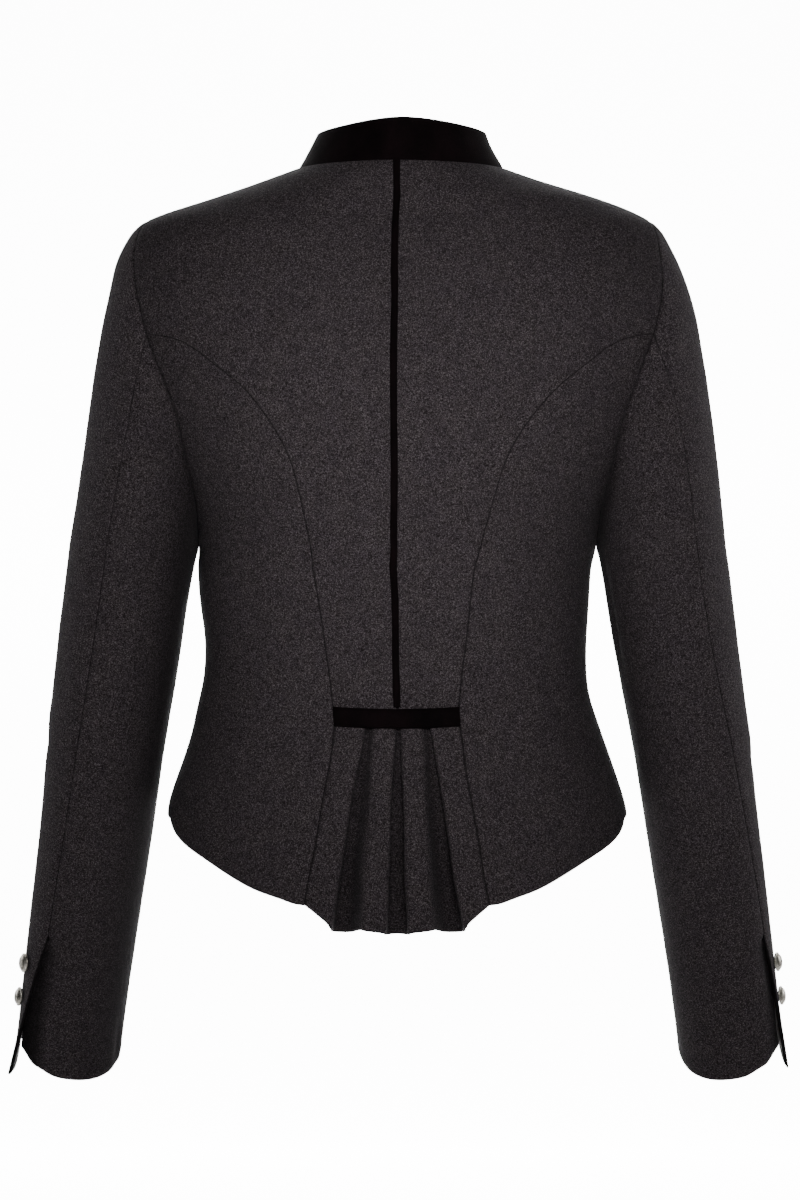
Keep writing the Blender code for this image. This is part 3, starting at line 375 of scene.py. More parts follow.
FRONT_BUTTON_RADIUS = 8.5 * MM
CUFF_BUTTON_RADIUS = 7.0 * MM
FRONT_BUTTON_HEIGHTS = (-88, -160, -232, -304, -376, -448)
CUFF_BUTTON_HEIGHTS = {"upper": -568, "lower": -593}
CUFF_BUTTON_ANGLE = {"left": 26.0, "right": 12.0}
CUFF_BUTTON_TILT = {"left": 0.16, "right": 0.26}  # the buttons hang a little on their shanks


def superellipse(angle, across, deep, power):
    """Point of an oval in the direction whose plain-ellipse angle is `angle`."""
    cosine, sine = np.cos(angle), np.sin(angle)
    reach = (np.abs(cosine) ** power + np.abs(sine) ** power) ** (-1 / power)
    return across * cosine * reach, deep * sine * reach


def torso(angle, height):
    """Body surface of the left half: angle 0 is the side, 90 degrees the middle of the back."""
    angle, height = np.broadcast_arrays(angle, height)
    back = np.sin(angle) >= 0
    deep = np.where(back, BODY.at("back_depth", height), BODY.at("front_depth", height))
    power = np.where(
        back, BODY.at("back_power", height, 1), BODY.at("front_power", height, 1)
    )
    x, y = superellipse(angle, BODY.at("half_width", height), deep, power)
    return np.stack([x, y, height], axis=-1)


def arm(angle, height):
    """Left sleeve's surface: angle 0 is its outer line, 90 degrees its back."""
    angle, height = np.broadcast_arrays(angle, height)
    wide = SLEEVE.at("half_width", height)
    x, y = superellipse(angle, wide, SLEEVE.at("half_depth", height), SLEEVE_POWER)
    return np.stack(
        [x + SLEEVE.at("outer", height) - wide, y - SLEEVE.at("forward", height), height], axis=-1
    )


def unit(vectors):
    return vectors / np.linalg.norm(vectors, axis=-1, keepdims=True)


def outward(surface, angle, height):
    """Unit normals of a surface given as surface(angle, height)."""
    turn, rise = 0.002, 0.4 * MM
    round_ = surface(angle + turn, height) - surface(angle - turn, height)
    up = surface(angle, height + rise) - surface(angle, height - rise)
    return unit(np.cross(round_, up))


def angle_at(out, height, back):
    """Angle on the body of the point that lies `out` from its middle line."""
    name = "back_power" if back else "front_power"
    power = BODY.at(name, height, 1)
    share = np.clip(np.abs(out) / BODY.at("half_width", height), 0, 1)
    other = (1 - share**power) ** (1 / power)
    angle = np.arctan2(other, share)
    angle = np.where(out < 0, math.pi - angle, angle)
    return angle if back else -angle


def resample(points, count):
    """Points of a smooth curve through `points`, `count` spans along its length."""
    points = np.asarray(points, float)
    run = np.concatenate([[0], np.cumsum(np.linalg.norm(np.diff(points, axis=0), axis=1))])
    along = np.linspace(0, run[-1], count + 1)
    return np.stack([spline(run, column, along) for column in points.T], axis=-1)


def drawn(points, count, back):
    """A seam given as (out, height) in millimetres, as `count` spans of (angle, height)."""
    out, height = (resample(points, count) * MM).T
    return np.stack([angle_at(out, height, back), height], axis=-1)


def join(*curves):
    """Curves laid end to end, each starting where the last one ended."""
    return np.concatenate([curves[0]] + [curve[1:] for curve in curves[1:]])


def coons(bottom, top, left, right):
    """Grid of (angle, height) inside four boundary curves; rows run from bottom to top."""
    rows, columns = len(left), len(bottom)
    v = np.linspace(0, 1, rows)[:, None, None]
    u = np.linspace(0, 1, columns)[None, :, None]
    ruled = (1 - v) * bottom[None] + v * top[None] + (1 - u) * left[:, None] + u * right[:, None]
    corners = (
        (1 - u) * (1 - v) * bottom[0]
        + u * (1 - v) * bottom[-1]
        + (1 - u) * v * top[0]
        + u * v * top[-1]
    )
    return ruled - corners


# How many spans each shared seam has. Pieces that meet there have the same points.
SPANS = {
    "insert_seam": 5, "princess": 12, "armhole_top": 4, "armhole_back": 6, "armhole_front": 3,
    "armhole_under": 4, "shoulder": 4, "neck": 10, "sleeve": 14, "vent": 3,
}  # fmt: skip
SPANS = {name: count * FINE for name, count in SPANS.items()}


def armhole_parts():
    """The armhole in four stretches of (angle, height), split where other seams meet it."""
    scale = np.array([2.2, 1.0])  # a degree counts as 2.2 mm along the curve
    fine = resample(np.array(ARMHOLE, float) * scale, ARMHOLE_STEPS) / scale
    under = int(np.argmin(fine[:, 1]))

    def stop(start, end, height):
        return start + int(np.argmin(np.abs(fine[start:end, 1] - height)))

    princess = stop(0, under, BACK_PRINCESS[-1][1])
    sleeve_top = stop(under, None, FRONT_SLEEVE_SEAM_TOP)
    front_princess = stop(under, None, FRONT_PRINCESS[-1][1])
    stops = (0, princess, under, sleeve_top, front_princess, ARMHOLE_STEPS)
    spans = ("armhole_top", "armhole_back", "armhole_under", "armhole_front", "armhole_top")
    parts = []
    for start, end, span in zip(stops, stops[1:], spans):
        at = np.linspace(start, end, SPANS[span] + 1)
        part = [np.interp(at, np.arange(len(fine)), column) for column in fine.T]
        parts.append(np.stack(part, axis=-1) * [math.pi / 180, MM])
    return parts


def seams():
    """Every shared seam of the left half as points of (angle, height), bottom to top."""
    top_back, back, under, front, top_front = armhole_parts()
    found = {
        "armhole_top_back": top_back[::-1],  # from the back princess seam up to the shoulder tip
        "armhole_back": back,  # from the back princess seam down to the underarm
        "armhole_under": under,  # from the underarm up to the sleeve's front seam
        "armhole_front": front,  # from there up to the front princess seam
        "armhole_top_front": top_front,  # from there up to the shoulder tip
    }
    found["princess"] = drawn(BACK_PRINCESS, SPANS["princess"], True)
    found["princess"][-1] = back[0]
    found["insert_seam"] = drawn(INSERT_SEAM, SPANS["insert_seam"], True)
    rows = SPANS["insert_seam"] + SPANS["princess"]
    found["front_princess"] = drawn(FRONT_PRINCESS, rows, False)
    found["front_princess"][-1] = front[-1]
    side_hem = BACK_HEM[-1][1] * MM
    heights = np.linspace(side_hem, UNDERARM_HEIGHT, rows + 1)
    found["side"] = np.stack([np.zeros(rows + 1), heights], axis=-1)
    ridge = np.linspace(SHOULDER_TIP_HEIGHT, NECK_SIDE_HEIGHT, SPANS["shoulder"] + 1)
    found["shoulder"] = np.stack([np.zeros(len(ridge)), ridge], axis=-1)
    hem_spans = SPANS["armhole_back"]
    found["back_hem"] = drawn(BACK_HEM, hem_spans, True)
    found["back_hem"][-1] = found["side"][0]
    front_spans = SPANS["armhole_under"] + SPANS["armhole_front"]
    side_part = [row for row in FRONT_HEM if row[0] >= FRONT_PRINCESS[0][0]]
    found["side_front_hem"] = drawn(side_part, front_spans, False)
    found["side_front_hem"][0] = found["side"][0]
    found["side_front_hem"][-1] = found["front_princess"][0]
    return found


def back_neck(count):
    """From the middle of the back to the shoulder seam."""
    share = np.linspace(0, 1, count + 1)
    angle = (1 - share) * math.pi / 2
    height = NECK_SIDE_HEIGHT + (NECK_BACK_HEIGHT - NECK_SIDE_HEIGHT) * np.sin(angle)
    return np.stack([angle, height], axis=-1)


def front_neck(count):
    """From the shoulder seam to the middle of the front."""
    found = drawn(FRONT_NECK, count, False)
    found[0] = (0, NECK_SIDE_HEIGHT)
    return found


def mirrored(points, side):
    return points * [side, 1.0, 1.0]


def swayed(points):
    """The body's middle line bends a little to one side, and its side seams stay."""
    moved = points.copy()
    share = np.clip(1 - np.abs(points[..., 0]) / SWAY_REACH, 0, 1)
    moved[..., 0] += BODY.at("sway", points[..., 2]) * share
    return leant(moved)


def leant(points, column="body"):
    """The jacket's own lean. Down to the underarm it is the same for the body and the arms."""
    moved, height = points.copy(), points[..., 2]
    below = np.clip((UNDERARM_HEIGHT - height) / LEAN_FADE, 0, 1)
    own = below**2 * (3 - 2 * below) * LEAN_BELOW.at(column, height)
    moved[..., 0] -= LEAN.at("all", height) + own
    return moved


def back_base(out, height):
    """Points and normals of the back at signed distances from the middle line."""
    angle = angle_at(out, height, True)
    return torso(angle, height), outward(torso, angle, height)


def offset_profile(profile, distance):
    """A (across, depth) polyline moved inwards by `distance`, mitred at its corners."""
    along = unit(np.diff(profile, axis=0))
    left = np.stack([along[:, 1], -along[:, 0]], axis=-1)
    before = np.concatenate([left[:1], left])
    after = np.concatenate([left, left[-1:]])
    mitre = unit(before + after)
    reach = distance / np.maximum((mitre * after).sum(axis=1), 0.45)
    return profile + mitre * reach[:, None]


def sleeve_angle(point):
    """Angle of a point round the arm's own section at its height."""
    height = point[..., 2]
    wide = SLEEVE.at("half_width", height)
    across = (point[..., 0] - SLEEVE.at("outer", height) + wide) / wide
    deep = (point[..., 1] + SLEEVE.at("forward", height)) / SLEEVE.at("half_depth", height)
    return np.arctan2(deep, across)


def sleeve_bottom(angle, part):
    """Height of the cuff's edge at an angle round the arm."""
    table = np.array(CUFF_UPPER if part == "upper" else CUFF_UNDER, float)
    return spline(table[:, 0], table[:, 1] * MM, np.degrees(angle))


def sleeve_seam(name, top, part):
    """A sleeve seam from the cuff up to its armhole point, closer together at the top."""
    share = 1 - (1 - np.linspace(0, 1, SPANS["sleeve"] + 1)) ** 1.25
    at_cuff = SLEEVE_SEAMS.at(name, CUFF_HEIGHT, math.pi / 180)
    round_ = 2 * math.pi if (name, part) == ("front", "under") else 0
    bottom = sleeve_bottom(at_cuff + round_, part)
    vent = np.linspace(bottom, VENT_TOP - VENT_STEP, SPANS["vent"] + 1)
    height = np.concatenate([vent, VENT_TOP + (top[1] - VENT_TOP) * share])
    angle = SLEEVE_SEAMS.at(name, height, math.pi / 180)
    blend = np.clip((height - top[1] + SEAM_BLEND) / SEAM_BLEND, 0, 1) ** 2
    drawn_top = SLEEVE_SEAMS.at(name, top[1], math.pi / 180)
    return np.stack([angle + blend * (top[0] - drawn_top), height], axis=-1)


def armhole_lines(found):
    """The armhole as (angle, height) on the body, along the upper and the under sleeve."""
    cap = join(
        found["armhole_top_back"], found["armhole_top_front"][::-1], found["armhole_front"][::-1]
    )
    return cap, join(found["armhole_back"], found["armhole_under"])


def sleeve_domains(found, name):
    """Grids of (angle, height) for the upper and the under sleeve, with their cap points."""
    cap, under = armhole_lines(found)
    cap_points, under_points = torso(*cap.T), torso(*under.T)
    top_cap = np.stack([sleeve_angle(cap_points), cap_points[:, 2]], axis=-1)
    top_under = np.stack([np.unwrap(sleeve_angle(under_points)), under_points[:, 2]], axis=-1)
    back = sleeve_seam(f"back_{name}", top_cap[0], "upper")
    front = sleeve_seam("front", top_cap[-1], "upper")
    front_round = sleeve_seam("front", top_cap[-1], "under") + [2 * math.pi, 0]
    top_under[-1, 0] = front_round[-1, 0]

    def cuff(start, end, count, part):
        angle = np.linspace(start[0], end[0], count + 1)
        edge = np.stack([angle, sleeve_bottom(angle, part)], axis=-1)
        edge[0], edge[-1] = start, end
        return edge

    hem = cuff(back[0], front[0], len(cap) - 1, "upper")
    lapped = sleeve_seam(f"back_{name}", top_cap[0], "under")
    below = np.clip((VENT_TOP - VENT_STEP - lapped[:, 1]) / UNDERLAP_STEP, 0, 1)
    lapped[:, 0] -= math.radians(UNDERLAP) * below
    lift = sleeve_bottom(lapped[0, 0], "under") - lapped[0, 1]
    lapped[:, 1] += lift * np.clip((VENT_TOP - lapped[:, 1]) / (VENT_TOP - lapped[0, 1]), 0, 1)
    under_hem = cuff(lapped[0], front_round[0], len(under) - 1, "under")
    grids = {
        "upper": coons(hem, top_cap, back, front),
        "under": coons(under_hem, top_under, lapped, front_round),
    }
    return grids, {"upper": cap_points, "under": under_points}, back


def pinned(points, cap_points):
    """Draws the top of a sleeve onto the armhole, fading over the rows below."""
    miss = cap_points - points[-1]
    down = points[:, :, 2] - cap_points[None, :, 2]
    fade = np.clip(1 + down / CAP_BLEND, 0, 1) ** 2
    fade[-1] = 1.0
    return points + fade[..., None] * miss[None]


def open_flap(angle, height, name):
    """The upper sleeve's surface. Its flap swings out from near the sleeve's outer line."""
    points = arm(angle, height)
    edge = SLEEVE_SEAMS.at(f"back_{name}", height, math.pi / 180)
    hinge = math.radians(VENT_HINGE[name])
    open_share = np.clip((VENT_TOP - height) / (VENT_TOP - sleeve_bottom(edge, "upper")), 0, 1)
    swing = np.clip((angle - hinge) / (edge - hinge), 0, 1)
    line = arm(np.full(np.shape(height), hinge), height)
    reach = SLEEVE.at("half_depth", height) * (edge - hinge) * FLAP_SHARE
    flat = line + (swing * reach)[..., None] * np.array([0.0, 1.0, 0.0])
    flat[..., 0] += VENT_FLARE * swing**2
    share = (open_share * (angle > hinge))[..., None]
    return points * (1 - share) + flat * share


def armhole_turns(found, name):
    """Points round one armhole, and the way its seam faces: between the body and the sleeve."""
    grids, caps, _ = sleeve_domains(found, name)
    places, ways = [], []
    for line, part in zip(armhole_lines(found), ("upper", "under")):
        domain = np.moveaxis(grids[part], -1, 0)
        grid = pinned(arm(*domain), caps[part])
        of_sleeve = grid_normals(grid, outward(arm, *domain))[-1]
        of_body = outward(torso, *line.T)
        apart = 0.5 - 0.5 * (of_sleeve * of_body).sum(axis=-1, keepdims=True)
        places.append(caps[part])
        ways.append(unit(of_sleeve + of_body - 0.5 * UP * apart))
    return np.concatenate(places), np.concatenate(ways)


def grid_normals(points, like):
    """Normals of a grid of points, on the same side as the vectors `like`."""
    found = unit(np.cross(np.gradient(points, axis=0), np.gradient(points, axis=1)))
    return found * np.sign((found * like).sum(axis=-1, keepdims=True))


def turned(points, normal, turns):
    """Normals that swing to the armhole seam's own way close to it, so that its rims meet."""
    places, ways = turns
    flat = points.reshape(-1, 3)
    near = np.linalg.norm(flat[:, None] - places[None, ::3], axis=-1)
    index = 3 * near.argmin(axis=1)
    reach = near.min(axis=1)
    for step in range(-2, 3):
        other = np.clip(index + step, 0, len(places) - 1)
        distance = np.linalg.norm(flat - places[other], axis=1)
        closer = distance < reach
        index, reach = np.where(closer, other, index), np.where(closer, distance, reach)
    share = np.exp(-((reach / TURN_REACH) ** 2))[:, None]
    mixed = unit(normal.reshape(-1, 3) * (1 - share) + ways[index] * share)
    return mixed.reshape(points.shape)


def crowded(grid, axes=(0, 1)):
    """The same grid with more lines near its rim, where the edges roll over."""
    for axis in axes:
        last = grid.shape[axis] - 1
        rim = np.array(RIM_LINES)
        index = np.concatenate([rim, np.arange(1, last), (last - rim)[::-1]])
        low = np.minimum(index.astype(int), last - 1)
        share = (index - low).reshape([-1 if i == axis else 1 for i in range(grid.ndim)])
        lower, upper = np.take(grid, low, axis), np.take(grid, low + 1, axis)
        grid = lower * (1 - share) + upper * share
    return grid


def from_rim(points):
    """Each point's distance from the nearest side of its grid, along the grid's lines."""
    nearest = np.full(points.shape[:2], np.inf)
    for axis in (0, 1):
        step = np.linalg.norm(np.diff(points, axis=axis), axis=-1)
        run = np.cumsum(step, axis=axis)
        first = np.zeros_like(np.take(run, [0], axis))
        run = np.concatenate([first, run], axis=axis)
        total = np.take(run, [-1], axis)
        nearest = np.minimum(nearest, np.minimum(run, total - run))
    return nearest


def rolled(distance, thick=CLOTH):
    """How far a face drops towards its edge, as a seam or a turned hem does."""
    share = np.clip(distance / ROLL, 0, 1)
    return -ROLL_DROP * thick * (1 - np.sqrt(1 - (1 - share) ** 2))


def seam_relief(distance):
    """An edge's roll, and the low ridge where the seam allowance lies beneath the cloth."""
    ridge = ALLOWANCE_RIDGE * np.exp(-(((distance - ALLOWANCE) / ALLOWANCE_WIDTH) ** 2))
    return rolled(distance) + ridge


def folds(surface, side, angle, height):
    """Sum of the soft folds on one side of the body or on one sleeve, a ridge beside each."""
    degree = MM_PER_DEGREE[surface]
    x, y = np.degrees(angle) * degree, height / MM
    total = np.zeros(np.shape(x))
    for kind, where, a0, h0, a1, h1, bow, width, depth in FOLDS:
        if (kind, where) != (surface, side):
            continue
        start, along = np.array([a0 * degree, h0]), np.array([(a1 - a0) * degree, h1 - h0])
        length = np.hypot(*along)
        along = along / length
        t = ((x - start[0]) * along[0] + (y - start[1]) * along[1]) / length
        bent = bow * (1 - (2 * t - 1) ** 2)
        across = (x - start[0]) * -along[1] + (y - start[1]) * along[0] - bent
        reach = np.clip(1 - (2 * t - 1) ** 2, 0, 1) ** 1.3
        trough = -np.exp(-((across / width) ** 2))
        beside = 0.55 * np.exp(-(((across - 1.9 * width) / (1.1 * width)) ** 2))
        total += depth * reach * (trough + beside)
    return total * MM


def by_angle(table, angle):
    """A shade that depends on how far round from the outer line or the side a point lies."""
    away = np.degrees(np.abs((angle + math.pi) % (2 * math.pi) - math.pi))
    return np.interp(away, *np.array(table, float).T)


def beside_armhole(points, surface):
    """The shade in the hollow between the body and a sleeve, deepest at the underarm."""
    cap = points[-1]
    away = np.linalg.norm(points - cap, axis=-1)
    low = np.clip((HOLLOW_TOP - cap[:, 2]) / HOLLOW_DEEPENS, 0, 1)
    reach = np.interp(low, (0, 1), HOLLOW_REACH)
    return HOLLOW_SHADE[surface] * (0.5 + 0.5 * low) * np.exp(-((away / reach) ** 2))


def slack(points, seed):
    """Very low, wide swells, since no cloth lies quite smooth."""
    phase = np.array([1.3, 2.1, 4.7, 0.4]) + seed
    x, y, z = np.moveaxis(points / MM, -1, 0)
    swell = np.sin(x / 17 + z / 31 + phase[0]) * np.sin(z / 23 - y / 29 + phase[1])
    swell = swell + 0.6 * np.sin(x / 9.5 - z / 14 + phase[2]) * np.sin(z / 11 + y / 13 + phase[3])
    return SWELL * swell


def shell(name, outer, inner, material, painted_shade=0.0):
    """A closed shell between two grids of points with the same rows and columns."""
    rows, columns = outer.shape[:2]
    at = np.arange(rows * columns).reshape(rows, columns)
    quads = np.stack([at[:-1, :-1], at[:-1, 1:], at[1:, 1:], at[1:, :-1]], axis=-1).reshape(-1, 4)
    under = quads[:, ::-1] + rows * columns
    rim = np.concatenate([at[0], at[1:, -1], at[-1, -2::-1], at[-2:0:-1, 0]])
    there = np.roll(rim, -1)
    wall = np.stack([there, rim, rim + rows * columns, there + rows * columns], axis=-1)
    points = np.concatenate([outer.reshape(-1, 3), inner.reshape(-1, 3)])
    faces = np.concatenate([quads, under, wall])
    piece = made(name, points, faces, material)
    # Painted shade: the wool darkens along every rim, where the seam's groove and the hem's turn lie,
    # and where little light comes.
    rim_shade = np.exp(-((from_rim(outer) / RIM_SHADE_REACH) ** 2))
    shade = np.maximum(rim_shade, painted_shade).reshape(-1)
    edge = piece.data.attributes.new("edge", "FLOAT", "POINT")
    edge.data.foreach_set("value", np.concatenate([shade, shade]).astype(np.float32))
    return piece


def placed(name, data):
    """A new object in the scene that shows the given mesh, lamp or camera."""
    found = bpy.data.objects.new(name, data)
    bpy.context.scene.collection.objects.link(found)
    return found


def made(name, points, faces, material, sharp=62):
    """A smooth closed mesh object, turned to face outwards whichever way its grid runs."""
    volume = 0.0
    for corners in ([0, 1, 2], [0, 2, 3]):
        a, b, c = np.moveaxis(points[faces[:, corners]], 1, 0)
        volume += (a * np.cross(b, c)).sum()
    listed = [face[:3] if face[2] == face[3] else face for face in faces.tolist()]
    if volume < 0:
        listed = [face[::-1] for face in listed]
    mesh = bpy.data.meshes.new(name)
    mesh.from_pydata(points.tolist(), [], listed)
    mesh.shade_smooth()
    mesh.set_sharp_from_angle(angle=math.radians(sharp))
    mesh.materials.append(material)
    return placed(name, mesh)


def stands_for(piece, node):
    """Puts a piece in place of its solid."""
    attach(piece, "root")
    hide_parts(node)


def cloth(node, slot, faces, finish, painted_shade=0.0):
    """A shell between its outer and inner face, put in place of the node's solid."""
    piece = shell(f"{node}_{NAPS[slot]}", *faces, finish[slot], painted_shade)
    stands_for(piece, node)


def panel(name, domain, side, finish, turns, lift=None):
    """One cut piece of the body. Its name ends in the side that it is on."""
    label = name.rsplit("_", 1)[1]
    angle, height = np.moveaxis(crowded(domain), -1, 0)
    points = torso(angle, height)
    normal = turned(points, outward(torso, angle, height), turns)
    relief = seam_relief(from_rim(points)) + folds("body", label, angle, height)
    relief = relief + slack(points, 3.0 * side)
    out = np.zeros(angle.shape) if lift is None else lift(points[..., 0])
    faces = (points + normal * (out + rise)[..., None] for rise in (relief, -CLOTH))
    faces = [swayed(mirrored(face, side)) for face in faces]
    # Painted shade: darker towards the body's side, and in the hollow beside the armhole.
    painted_shade = by_angle(SIDE_SHADE, angle)
    if name.startswith("side"):
        painted_shade = np.maximum(painted_shade, beside_armhole(points, "body"))
    cloth(name, "loden", faces, finish, painted_shade)


def back_panels(found, finish):
    """Centre backs above the waist seam, and side backs down to the hem."""
    left = join(found["princess"], found["armhole_top_back"], found["shoulder"])
    corners = (0, SPANS["princess"], SPANS["princess"] + SPANS["armhole_top"], len(left) - 1)
    middle_heights = np.interp(np.arange(len(left)), corners, MIDDLE_BACK_HEIGHTS)
    middle = np.stack([np.full(len(left), math.pi / 2), middle_heights], axis=-1)
    angles = np.linspace(math.pi / 2, left[0, 0], SPANS["neck"] + 1)
    bottom = np.stack([angles, np.full(len(angles), left[0, 1])], axis=-1)
    domain = coons(bottom, back_neck(SPANS["neck"]), middle, left)
    side_domain = coons(
        found["back_hem"],
        found["armhole_back"],
        join(found["insert_seam"], found["princess"]),
        found["side"],
    )
    for name, side in SIDES.items():
        turns = armhole_turns(found, name)
        panel(f"back_{name}", domain, side, finish, turns)
        panel(f"side_back_{name}", side_domain, side, finish, turns)


def front_panels(found, finish):
    """The right front laps over the left one, and both run past the centre line."""
    columns = SPANS["neck"]
    outer = join(found["front_princess"], found["armhole_top_front"], found["shoulder"])
    neck = front_neck(columns)
    middle_part = [row for row in FRONT_HEM if row[0] <= FRONT_PRINCESS[0][0]]
    hem = drawn(middle_part, columns, False)
    share = (outer[:, 1] - outer[0, 1]) / (outer[-1, 1] - outer[0, 1])
    edge_heights = hem[-1, 1] + share * (neck[-1, 1] - hem[-1, 1])
    edge_angles = angle_at(np.full(len(outer), -FRONT_LAP), edge_heights, False)
    edge = np.stack([edge_angles, edge_heights], axis=-1)
    hem[0] = outer[0]
    domain = coons(hem, neck, outer, edge)
    side_domain = coons(
        found["side_front_hem"],
        join(found["armhole_under"], found["armhole_front"]),
        found["side"],
        found["front_princess"],
    )

    def lapped(out):
        ramp = np.clip((LAP_CLEAR + LAP_RAMP - out) / LAP_RAMP, 0, 1)
        return LAP_LIFT * ramp * ramp * (3 - 2 * ramp)

    for name, side in SIDES.items():
        lift = lapped if name == "right" else None
        turns = armhole_turns(found, name)
        panel(f"front_{name}", domain, side, finish, turns, lift)
        panel(f"side_front_{name}", side_domain, side, finish, turns)


def cornered(profile, share, rounds):
    """A polyline with each corner cut off `rounds` times, so that a fold is rounded."""
    for _ in range(rounds):
        ahead = profile[:-1] * (1 - share) + profile[1:] * share
        behind = profile[:-1] * share + profile[1:] * (1 - share)
        between = np.stack([ahead, behind], axis=1).reshape(-1, *profile.shape[1:])
        profile = np.concatenate([profile[:1], between, profile[-1:]])
    return profile


def pleated_insert(finish):
    """The pleats fan out from the waist tab; one shell folds through all of them."""
    share = np.concatenate([[0, 0.008, 0.02], np.linspace(0.035, 0.975, 62), [0.986, 0.994, 1]])
    columns = np.array([row[1:] for row in PLEATS], float).T * MM
    top_out, top_depth, hem_out, hem_depth, hem_height = columns
    last = len(PLEATS) - 1
    order = list(range(last, 0, -1)) + list(range(last + 1))
    signs = np.array([-1.0] * last + [1.0] * (last + 1))
    seam = np.array(INSERT_SEAM[::-1]) * MM
    outer, inner, flat = [], [], []
    for down in share:
        across = top_out + (hem_out - top_out) * down
        depth = top_depth + (hem_depth - top_depth) * down**PLEAT_DEEPENS
        height = WAIST_SEAM + (hem_height - WAIST_SEAM) * down
        across[last] = spline(-seam[:, 1], seam[:, 0], -height[last])
        row = np.stack([signs * across[order], depth[order], height[order]], axis=-1)
        wave = PLEAT_SLACK[:, None] * np.sin(down * PLEAT_WAVES[:, None] + np.arange(len(order)))
        wave[:, [0, -1]] = 0.0
        row[:, :2] += MM * wave.T * np.sin(math.pi * down)
        row = cornered(row, PLEAT_CUT, 2)
        profile = row[:, :2]
        backed = offset_profile(profile, PLEATED_WOOL)
        backed[[0, -1], 0] = profile[[0, -1], 0]
        for shape, layer in ((profile, outer), (backed, inner)):
            point, normal = back_base(shape[:, 0], row[:, 2])
            layer.append(point + normal * shape[:, 1:])
        flat.append(row)
    outer, inner = np.array(outer), np.array(inner)
    away = unit(outer - inner)
    outer = outer + away * rolled(from_rim(outer), PLEATED_WOOL)[..., None]
    # Painted shade: darker deep inside the pleats.
    depth = -np.array(flat)[..., 1]
    painted_shade = PLEAT_SHADE * np.clip(depth / (0.42 * depth.max(axis=1, keepdims=True)) - 0.12, 0, 1)
    faces = swayed(outer), swayed(inner)
    cloth("pleated_insert", "loden", faces, finish, painted_shade)


def waist_tab(finish):
    """A folded velvet band over the waist seam, with a slight sag in the middle."""
    half_length, sag, rows, columns = 44.5 * MM, 1.6 * MM, 22, 90
    top, bottom, rise, seat = -380.6 * MM, -394.6 * MM, 3.4 * MM, 0.3 * MM
    out = np.linspace(-1, 1, columns + 1)[None, :]
    out = half_length * np.sign(out) * (1 - (1 - np.abs(out)) ** 1.15)
    share = (0.5 - 0.5 * np.cos(np.linspace(0, math.pi, rows + 1)))[:, None]
    height = bottom + (top - bottom) * share - sag * (1 - (out / half_length) ** 2)
    out = np.broadcast_to(out, height.shape)
    point, normal = back_base(out, height)
    pillow = np.clip(1 - np.abs(2 * share - 1) ** 3.2, 0, 1) ** 0.5
    tuck = np.clip((half_length - np.abs(out)) / (3.0 * MM), 0, 1) ** 0.5
    crumple = 0.25 * MM * np.sin(out / (5.1 * MM) + 2.0 * share) * np.sin(out / (8.3 * MM) + 1)
    thick = seat + 0.5 * MM + (rise + crumple) * pillow * (0.35 + 0.65 * tuck)
    faces = swayed(point + normal * thick[..., None]), swayed(point + normal * seat)
    cloth("waist_tab", "velvet", faces, finish)


def back_piping(finish):
    """A round velvet strip down the middle of the back, from the collar to the tab."""
    rows, columns = 260, 14
    height = np.linspace(-381.0 * MM, 7.4 * MM, rows + 1)[:, None]
    turn = np.linspace(-math.pi / 2, math.pi / 2, columns + 1)[None, :]
    uneven = 0.12 * MM * np.sin(height / (6.7 * MM)) * np.sin(height / (15.1 * MM) + 1.0)
    out = np.sin(turn) * (PIPING_HALF_WIDTH + uneven) + 0.25 * MM * np.sin(height / (41 * MM))
    height = np.broadcast_to(height, out.shape)
    point, normal = back_base(out, height)
    crown = 0.1 * MM + PIPING_HEIGHT * np.cos(turn) ** 0.75 + uneven
    faces = swayed(point + normal * crown[..., None]), swayed(point - normal * PIPING_SUNK)
    cloth("back_piping", "velvet", faces, finish)


